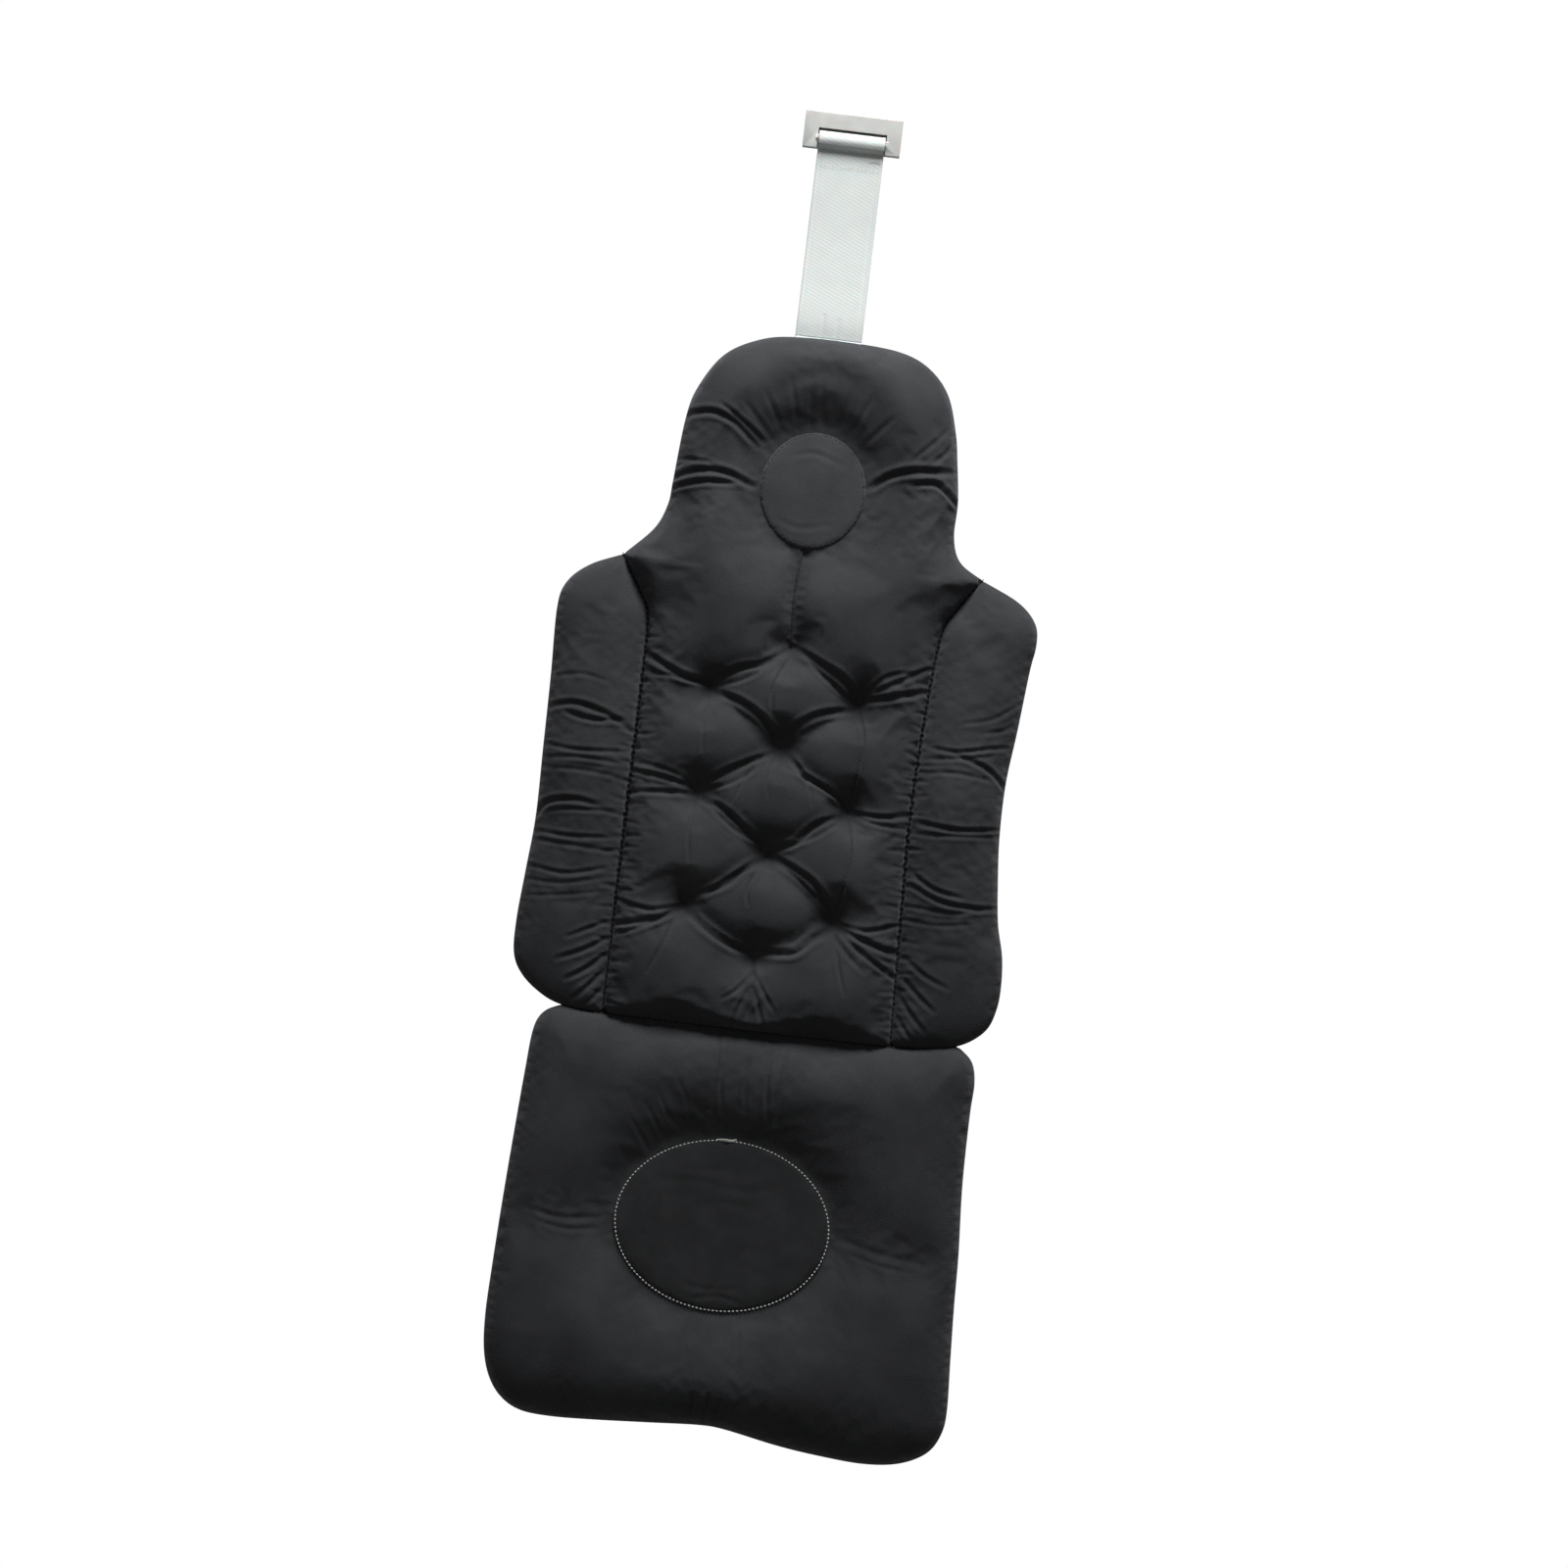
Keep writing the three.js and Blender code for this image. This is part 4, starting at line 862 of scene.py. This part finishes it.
# The seat thins towards its front edge and is drawn in a little at each side.
SEAT_PLACES = (-125, -70)
SEAT_SHARES = (0.7, 1)
SEAT_WAISTS = [[(-110, -3), (-62, -2)], [(60, -1), (118, -5)]]
SEAT_FOLDS = [
    ([(-15, 108), (-14, 88), (-15, 66)], 1.2, 1.7),
    ([(-10, 106), (-11, 84), (-9, 66)], 0.8, 1.6),
    ([(15, 106), (15, 86), (17, 64)], 1.2, 1.7),
    ([(25, 104), (23, 84), (22, 62)], 1.2, 1.6),
    ([(4, 100), (3, 84), (4, 68)], 1.0, 1.6),
    ([(-36, 84), (-30, 72), (-26, 60)], 0.2, 1.7),
    ([(-52, 66), (-44, 54), (-38, 46)], 0.3, 1.7),
    ([(-60, 58), (-52, 46), (-47, 38)], 0.25, 1.7),
    ([(-46, 74), (-38, 60), (-31, 52)], 0.25, 1.7),
    ([(-112, -1), (-92, -4), (-68, -2)], 0.5, 2.2),
    ([(-106, -7), (-90, -10), (-72, -9)], 0.35, 1.8),
    ([(66, 2), (86, -3), (118, -7)], 0.35, 2.6),
    ([(72, -6), (90, -10), (110, -12)], 0.2, 1.8),
    ([(-6, -113), (-6, -104), (-7, -95)], 0.9, 1.6),
    ([(2, -113), (2, -103), (3, -94)], 1.0, 1.6),
    ([(8, -113), (8, -104), (10, -97)], 0.8, 1.6),
    ([(-12, -52), (-14, -64), (-13, -74)], 0.4, 1.8),
    ([(14, -51), (16, -62), (15, -72)], 0.4, 1.8),
]
seat_outline = closed_outline([SEAT_ROUND, SEAT_TOP], SPACING)
seat_rings = np.vstack([ring(SEAT_PANEL, grow, SPACING) for grow in (SEAM_MARGIN, -SEAM_MARGIN)])
seat_net = cloth_net(seat_outline, SPACING, seat_rings, seed=9)
seat_gap = beyond(seat_net[0], oval(SEAT_PANEL, SEAM_MARGIN))
fullness = crown(to_loop(seat_net[0], seat_outline), roll=34)
fullness *= np.interp(seat_net[0][:, 1], SEAT_PLACES, SEAT_SHARES)
for waist in SEAT_WAISTS:
    fullness *= drawn_in(to_line(seat_net[0], waist), depth=0.14, reach=20)
fullness *= drawn_in(seat_gap, depth=0.68, reach=18, power=1.5)
seat_cushion = cushion("seat_cushion", seat_net, seat_outline, fullness, lofts=(20.5, 22),
                       pins=[(seat_gap < ON_SEAM, PANEL_HEIGHT, True)], growth=0.003, cap=9,
                       folds=SEAT_FOLDS)
dress(seat_cushion, "seat_front_cover", "seat_rear_cover", "seat_filling", fill=0.75)
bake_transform(seat_cushion)

# Seat panel
# The oval that the baby sits on: a smooth, darker woven cloth, sewn down with a line of pale
# lockstitch that shows as a row of beads, its ends knotted at the top.
THREAD_PITCH = 0.6
WEAR_SIZE = 12.5


def woven_cloth(name, low, high):
    """Plain-woven polyester, smoother and darker than the knit. Its 0.6 mm threads show only as a
    fine grid close up."""
    material, tree, shader = new_material(name, high, 0.85)
    shader.inputs["Specular IOR Level"].default_value = 0.25
    shader.inputs["Sheen Weight"].default_value = 0.15
    place = millimetres(tree)
    warp, weft = [add_node(tree, "ShaderNodeTexWave", [("Vector", place)],
                           [("Scale", WAVE / THREAD_PITCH)], bands_direction=way) for way in "XY"]
    weave = add_node(tree, "ShaderNodeMath", [(0, warp.outputs["Fac"]), (1, weft.outputs["Fac"])],
                     operation="ADD")
    wear = add_node(tree, "ShaderNodeTexNoise", [("Vector", place)],
                    [("Scale", 1 / WEAR_SIZE), ("Detail", 5)])
    finish_surface(tree, shader, wear.outputs["Fac"], [(0.35, low), (0.7, high)], weave.outputs[0],
                   strength=0.4, height=0.00008)
    return material


DARK_WEAVE = woven_cloth("dark_plain_weave", "#212224", "#2b2c2e")
PALE_THREAD = spun_thread("pale_spun_thread", "#c4c7c1", twist_pitch=0.4)
seat_panel = sewn_panel("seat_panel_cloth", SEAT_PANEL, dome=1.8, folds=[
    ([(-44, 22), (-20, 25), (6, 22), (30, 26)], 0.14, 3.2),
    ([(-36, 33), (-16, 31), (4, 34)], 0.10, 2.6),
    ([(-24, 8), (-2, 14), (24, 10)], 0.10, 3.6),
    ([(-22, -33), (-4, -36), (14, -33)], 0.20, 2.4),
    ([(-14, -42), (2, -39), (16, -42)], 0.30, 2.0),
    ([(-12, -44), (-2, -34), (2, -26)], 0.14, 2.4),
], material=DARK_WEAVE)
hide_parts("seat_panel")
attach(seat_panel, "seat_pad")
seat_ring = ring_line(SEAT_PANEL, grow=-0.6, lift=7.5)
seat_stitches = stitch_row("seat_panel_stitches", [seat_ring], PALE_THREAD, pitch=2.3, length=1.7,
                           thickness=0.9)
KNOT_RUNS = [
    [(-9.5, 49.4, 29.3), (-6, 50.0, 30.4), (-2.5, 49.2, 30.2), (0.8, 49.6, 29.4)],
    [(-8.0, 48.9, 29.4), (-4.5, 49.9, 30.7), (-1.0, 50.0, 30.0), (1.5, 50.6, 29.3)],
    [(-5.5, 48.8, 29.6), (-4.4, 50.4, 30.9), (-3.2, 49.1, 30.8), (-4.6, 48.9, 29.8)],
]
knot = thread_piece("seat_stitch_knot", KNOT_RUNS, THREAD_RADIUS, PALE_THREAD)
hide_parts("seat_panel_stitching")
for piece in (seat_stitches, knot):
    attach(piece, "seat_pad")

# Strap
# One length of 38 mm silvery-white satin webbing. It is sewn into the head seam, dips on its way,
# climbs steeply to the hook's bar, goes over it and back under itself, where its tail is sewn on.
STRAP_MIDDLE = -0.5
STRAP_THICK = 1.3
BAR = (623.5, 16.6)
MEETING = (617.8, 14.6)
LAYER = 1.6
TWILL = 1.9
TWILL_SLANT = 24
WARP = 0.8
CLOUD_SIZE = 11.1
# Half the webbing's width at the steps of its selvedge, and the thickness there as shares.
SELVEDGE = [16, 16.8, 17.4, 18.2, 18.75, 19]
SELVEDGE_SHARES = [0.86, 0.74, 1.0, 1.0, 0.8, 0.35]
FACE_HALF = 15
FACE_SHARE = 0.86
# Each crease is its place across, where along the strap it ends, and its depth.
STRAP_CREASES = [(-4, 523, 0.3), (4.5, 521, 0.3)]
CREASE_WIDTH = 0.9


def satin_webbing(name):
    """Jacquard-loom polyester webbing with a satin face: fine warp threads, a diagonal twill of about
    1.6 mm and firmer selvedges. The twill is drawn a fifth coarser than it is, so that it shows."""
    material, tree, shader = new_material(name, "#d3d8d6", 0.5)
    shader.inputs["Specular IOR Level"].default_value = 0.35
    shader.inputs["Subsurface Weight"].default_value = 0.25
    shader.inputs["Subsurface Scale"].default_value = 0.002
    shader.inputs["Sheen Weight"].default_value = 0.15
    own = add_node(tree, "ShaderNodeUVMap", uv_map="webbing")
    slanted, straight = [
        add_node(tree, "ShaderNodeMapping", [("Vector", own.outputs["UV"])],
                 [("Scale", (1000, 1000, 1000)), ("Rotation", (0, 0, math.radians(slant)))]).outputs[0]
        for slant in (TWILL_SLANT, 0)]
    twill = add_node(tree, "ShaderNodeTexWave", [("Vector", slanted)],
                     [("Scale", WAVE / TWILL), ("Distortion", 1.2), ("Detail", 2)], bands_direction="Y")
    warp = add_node(tree, "ShaderNodeTexWave", [("Vector", straight)],
                    [("Scale", WAVE / WARP), ("Distortion", 0.4)], bands_direction="X")
    weave = add_node(tree, "ShaderNodeMath", [(0, twill.outputs["Fac"]), (1, warp.outputs["Fac"])],
                     operation="ADD")
    cloud = add_node(tree, "ShaderNodeTexNoise", [("Vector", straight)],
                     [("Scale", 1 / CLOUD_SIZE), ("Detail", 3)])
    mixed = add_node(tree, "ShaderNodeMath", [(0, twill.outputs["Fac"]), (1, cloud.outputs["Fac"])],
                     operation="MULTIPLY")
    finish_surface(tree, shader, mixed.outputs[0], [(0.0, "#c4c9c7"), (0.7, "#d1d6d3")],
                   weave.outputs[0], strength=0.25, height=0.0001)
    return material


SATIN = satin_webbing("silver_white_satin_webbing")
SATIN_THREAD = spun_thread("silver_white_thread", "#d8dcda", twist_pitch=0.35)


def webbing(name, path):
    """A flat woven band along a path of (y, z) grid points, with selvedges and pressed creases."""
    path = np.array(path, float)
    along = np.gradient(path, axis=0)
    along /= np.hypot(*along.T)[:, None]
    up = np.column_stack([-along[:, 1], along[:, 0]])
    travel = np.concatenate([[0], np.cumsum(np.hypot(*np.diff(path, axis=0).T))])
    face_places = np.arange(-FACE_HALF, FACE_HALF + 1)
    across = np.concatenate([-np.array(SELVEDGE)[::-1], face_places, SELVEDGE])
    halves = STRAP_THICK / 2 * np.interp(np.abs(across), [0, *SELVEDGE], [FACE_SHARE, *SELVEDGE_SHARES])
    places, coordinates = [], []
    for (y, z), (out_y, out_z), gone in zip(path, up, travel):
        for face in (1, -1):
            for x, half in list(zip(across, halves))[::face]:
                lift = face * half
                for crease_x, reach, depth in STRAP_CREASES:
                    if y < reach:
                        lift -= depth * math.exp(-((x - crease_x) / CREASE_WIDTH) ** 2)
                places.append(at(STRAP_MIDDLE + x, y + out_y * lift, z + out_z * lift))
                coordinates.append((x / 1000, gone / 1000))
    wide = len(across)
    count = 2 * wide
    faces = [(row * count + i, row * count + (i + 1) % count, (row + 1) * count + (i + 1) % count,
              (row + 1) * count + i) for row in range(len(path) - 1) for i in range(count)]
    last = (len(path) - 1) * count
    for i in range(wide - 1):
        faces.append((i + 1, i, count - 1 - i, count - 2 - i))
        faces.append((last + i, last + i + 1, last + count - 2 - i, last + count - 1 - i))
    mesh = bpy.data.meshes.new(name)
    mesh.from_pydata(places, [], faces)
    layer = mesh.uv_layers.new(name="webbing")
    for loop in mesh.loops:
        layer.data[loop.index].uv = coordinates[loop.vertex_index]
    mesh.materials.append(SATIN)
    return place_piece(name, mesh)


# How far the strap has sunk on its way from the head seam to the foot of its climb, both as shares.
HEAD_EDGE = 509.2
HANG_SHARES = [(0, 0), (0.1, 0.04), (0.3, 0.46), (0.55, 0.84), (0.8, 0.98), (0.98, 1)]
run = [(HEAD_EDGE + share * (MEETING[0] - HEAD_EDGE), SEAM_HEIGHT - drop * (SEAM_HEIGHT - MEETING[1]))
       for share, drop in HANG_SHARES]
# It climbs to the front of the bar, stands over it as a roll with a flat top, dips, fills the rest
# of the window and comes back close below the bar.
FOOT = (619.5, 18.0)
ROLL = [(620.25, 19.2), (621.4, 19.9), (622.4, 20.3), (623.5, 20.4), (624.8, 20.15), (625.6, 19.7),
        (625.95, 19.0), (626.5, 18.85), (627.0, 18.1), (627.3, 17.2), (627.3, 16.4), (626.9, 15.2),
        (626.1, 14.3), (624.8, 13.45), (622.6, 13.25)]
RISE_SHARES = (0.16, 0.5, 0.94)
RISE_START = (618.2, 15.1)
TAIL_TURN = (620.3, 12.9)
TAIL_PLACES = (616, 612, 607.5, 603.5)
STRAP_SPACING = 0.9
ROLL_SPACING = 0.35
SEWN_IN = (495, 509.4)
rise = [np.array(MEETING) * (1 - share) + np.array(FOOT) * share for share in RISE_SHARES]
main = smooth_run([*run, RISE_START, *rise], STRAP_SPACING)
turn = smooth_run([FOOT, *ROLL], ROLL_SPACING)


def strap_height(y):
    """The height of the strap's middle layer at a place on its way to the bar."""
    return np.interp(y, main[:, 0], main[:, 1])


under = [(y, strap_height(y) - LAYER) for y in TAIL_PLACES]
tail = smooth_run([turn[-1], TAIL_TURN, *under], STRAP_SPACING)[1:]
strap = webbing("strap_webbing", [*main, *turn, *tail])
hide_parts("strap")
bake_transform(strap)
sewn_end = webbing("strap_sewn_end_webbing", [(y, SEAM_HEIGHT) for y in np.linspace(*SEWN_IN, 9)])
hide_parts("strap_sewn_end")
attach(sewn_end, "back_pad")
# Two rows of stitches hold the tail, and a bar tack stands at the right of the climb.
TACK_PLACE = 608.2
TACK_ENDS = (-18, 17.5)
TACK_ROWS = (-0.6, 0.6)
TACK_SINK = 0.12
BAR_TACK_PLACE = 613.6
BAR_TACK_ENDS = (10.5, 17.2)
BAR_TACK_PITCH = 0.22
BAR_TACK_HALF = 0.9
BAR_TACK_RADIUS = 0.2
BAR_TACK_LIFT = 0.12
tack_z = strap_height(TACK_PLACE) + STRAP_THICK / 2 - TACK_SINK
tack = [[(x, TACK_PLACE + row, tack_z) for x in np.arange(*TACK_ENDS)] for row in TACK_ROWS]
tail_stitches = stitch_row("loop_stitches", tack, SATIN_THREAD, pitch=2.2, length=1.9, thickness=0.5)
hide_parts("loop_stitching")
bar_tack = []
for i, x in enumerate(np.arange(*BAR_TACK_ENDS, BAR_TACK_PITCH)):
    y = BAR_TACK_PLACE + (BAR_TACK_HALF if i % 2 else -BAR_TACK_HALF)
    bar_tack.append((x, y, strap_height(y) + STRAP_THICK / 2 + BAR_TACK_LIFT))
bar_tack_thread = thread_piece("bar_tack_thread", [bar_tack], BAR_TACK_RADIUS, SATIN_THREAD)
for piece in (tail_stitches, bar_tack_thread):
    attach(piece, "strap")

# Rim hook
# An injection-moulded polypropylene channel that drops over the rim of a tub. Its front plate has a
# window with a round bar across it for the strap, and every edge is softened by the mould.
GRAIN_SIZE = 0.286
FLOW_SIZE = 14.3


def moulded_polypropylene(name):
    """Off-white polypropylene from a lightly spark-eroded mould: satin, with a very fine grain and a
    little light going in, which softens its edges."""
    material, tree, shader = new_material(name, "#bcbdba", 0.42)
    shader.inputs["Subsurface Weight"].default_value = 0.3
    shader.inputs["Subsurface Scale"].default_value = 0.003
    place = millimetres(tree)
    grain = add_node(tree, "ShaderNodeTexNoise", [("Vector", place)],
                     [("Scale", 1 / GRAIN_SIZE), ("Detail", 3)])
    flow = add_node(tree, "ShaderNodeTexNoise", [("Vector", place)],
                    [("Scale", 1 / FLOW_SIZE), ("Detail", 2)])
    finish_surface(tree, shader, flow.outputs["Fac"], [(0.3, "#b3b4b1"), (0.7, "#c0c1be")],
                   grain.outputs["Fac"], strength=0.2, height=0.00005)
    return material


# The bar's ends are blended into the plate beside the window, and the channel's two outer bends are
# drawn in to a tighter curve.
WINDOW_HALF = 19.6
BAR_RADIUS = 2.5
PLATE_HALF = 1.6
CHANNEL_TOP = 16.0
CHANNEL_HEIGHTS = (-16.6, PLATE_HALF)
BEND = 5.0
TIGHT_BEND = 1.6
WALL_SPARE = 0.3
BAR_SPARE = 0.1
TOUCHING = 0.01
EDGE_ROUND = 0.6


def sharpen(vertex, offset):
    """Moves a point of one of the channel's outer bends onto the tighter bend in the same corner."""
    for side, corner in zip((-1, 1), CHANNEL_HEIGHTS):
        middle = (CHANNEL_TOP - BEND, corner - side * BEND)
        reach = (offset.y - middle[0], side * (offset.z - middle[1]))
        if min(reach) > -TOUCHING and math.hypot(*reach) > BEND - WALL_SPARE:
            scale = TIGHT_BEND / BEND
            vertex.co.y += (BEND - TIGHT_BEND + (scale - 1) * reach[0]) / 1000
            vertex.co.z += side * (BEND - TIGHT_BEND + (scale - 1) * reach[1]) / 1000


shell = bmesh.new()
shell.from_mesh(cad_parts["rim_hook"].data)
bmesh.ops.remove_doubles(shell, verts=shell.verts, dist=0.00001)
bar_middle = at(STRAP_MIDDLE, *BAR)
for side in (-1, 1):
    bar_end = bar_middle + Vector((side * WINDOW_HALF / 1000, 0, 0))
    bmesh.ops.bisect_plane(shell, geom=[*shell.verts, *shell.edges, *shell.faces], dist=0.000001,
                           plane_co=bar_end, plane_no=(1, 0, 0))
for vertex in shell.verts:
    offset = (vertex.co - bar_middle) * 1000
    sharpen(vertex, offset)
    beside_window = abs(offset.x) > WINDOW_HALF + TOUCHING
    if beside_window and math.hypot(offset.y, offset.z) < BAR_RADIUS + BAR_SPARE:
        vertex.co.z = bar_middle.z + max(-PLATE_HALF, min(PLATE_HALF, offset.z)) / 1000
bmesh.ops.dissolve_limit(shell, angle_limit=math.radians(1), verts=shell.verts, edges=shell.edges)
hook_mesh = bpy.data.meshes.new("rim_hook_moulding")
shell.to_mesh(hook_mesh)
shell.free()
hook = place_piece("rim_hook_moulding", hook_mesh)
softening = hook.modifiers.new("softening", "BEVEL")
softening.width = EDGE_ROUND / 1000
softening.segments = 3
softening.limit_method = "ANGLE"
softening.angle_limit = math.radians(40)
settled(hook)
hook.data.materials.clear()
hook.data.materials.append(moulded_polypropylene("moulded_polypropylene"))
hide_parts("rim_hook")
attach(hook, "hook")

# Floor, lamps and camera
# A white floor under plain studio light: a long soft window beyond the head and a pale ceiling.
FLOOR_CORNERS = [(-6, -6, 0), (6, -6, 0), (6, 6, 0), (-6, 6, 0)]
FLOOR_GLOW = 1.04
GLOW_SHARE = 0.96
ROOM_GLOW = 0.07
floor_mesh = bpy.data.meshes.new("floor")
floor_mesh.from_pydata(FLOOR_CORNERS, [], [(0, 1, 2, 3)])
floor = in_scene("floor", floor_mesh)
white, tree, shader = new_material("white_floor", "#5a5a5a", 0.9)
rays = add_node(tree, "ShaderNodeLightPath")
seen = rays.outputs["Is Camera Ray"]
for ray in ("Is Glossy Ray", "Is Transmission Ray"):
    seen = add_node(tree, "ShaderNodeMath", [(0, seen), (1, rays.outputs[ray])],
                    operation="MAXIMUM").outputs[0]
share = add_node(tree, "ShaderNodeMath", [(0, seen)], [(1, GLOW_SHARE)], operation="MULTIPLY")
glow = add_node(tree, "ShaderNodeEmission", [], [("Strength", FLOOR_GLOW)])
mixed = add_node(tree, "ShaderNodeMixShader",
                 [(0, share.outputs[0]), (1, shader.outputs[0]), (2, glow.outputs[0])])
tree.links.new(mixed.outputs[0], tree.nodes["Material Output"].inputs[0])
floor_mesh.materials.append(white)

world = bpy.data.worlds.new("room")
bpy.context.scene.world = world
world.use_nodes = True
backdrop = world.node_tree.nodes["Background"]
backdrop.inputs["Color"].default_value = (1, 1, 1, 1)
backdrop.inputs["Strength"].default_value = ROOM_GLOW


def lamp(name, place, size, watts):
    """A square lamp, turned to the middle of the object."""
    light = bpy.data.lights.new(name, "AREA")
    light.size = size
    light.energy = watts
    thing = in_scene(name, light)
    thing.location = place
    thing.rotation_euler = (-Vector(place)).to_track_quat("-Z", "Y").to_euler()


lamp("head_window", place=(0.1, 1.25, 0.62), size=0.6, watts=26)
lamp("soft_ceiling", place=(-0.5, 0.1, 2.0), size=1.8, watts=4)

CAMERA_PLACE = (0.00292, -0.00269, 2.505)
CAMERA_TURN = math.radians(6.8)
camera = bpy.data.cameras.new("camera")
camera.lens = 100
eye = in_scene("camera", camera)
eye.location = CAMERA_PLACE
eye.rotation_euler = (0, 0, CAMERA_TURN)
bpy.context.scene.camera = eye
bpy.context.scene.view_settings.view_transform = "Standard"
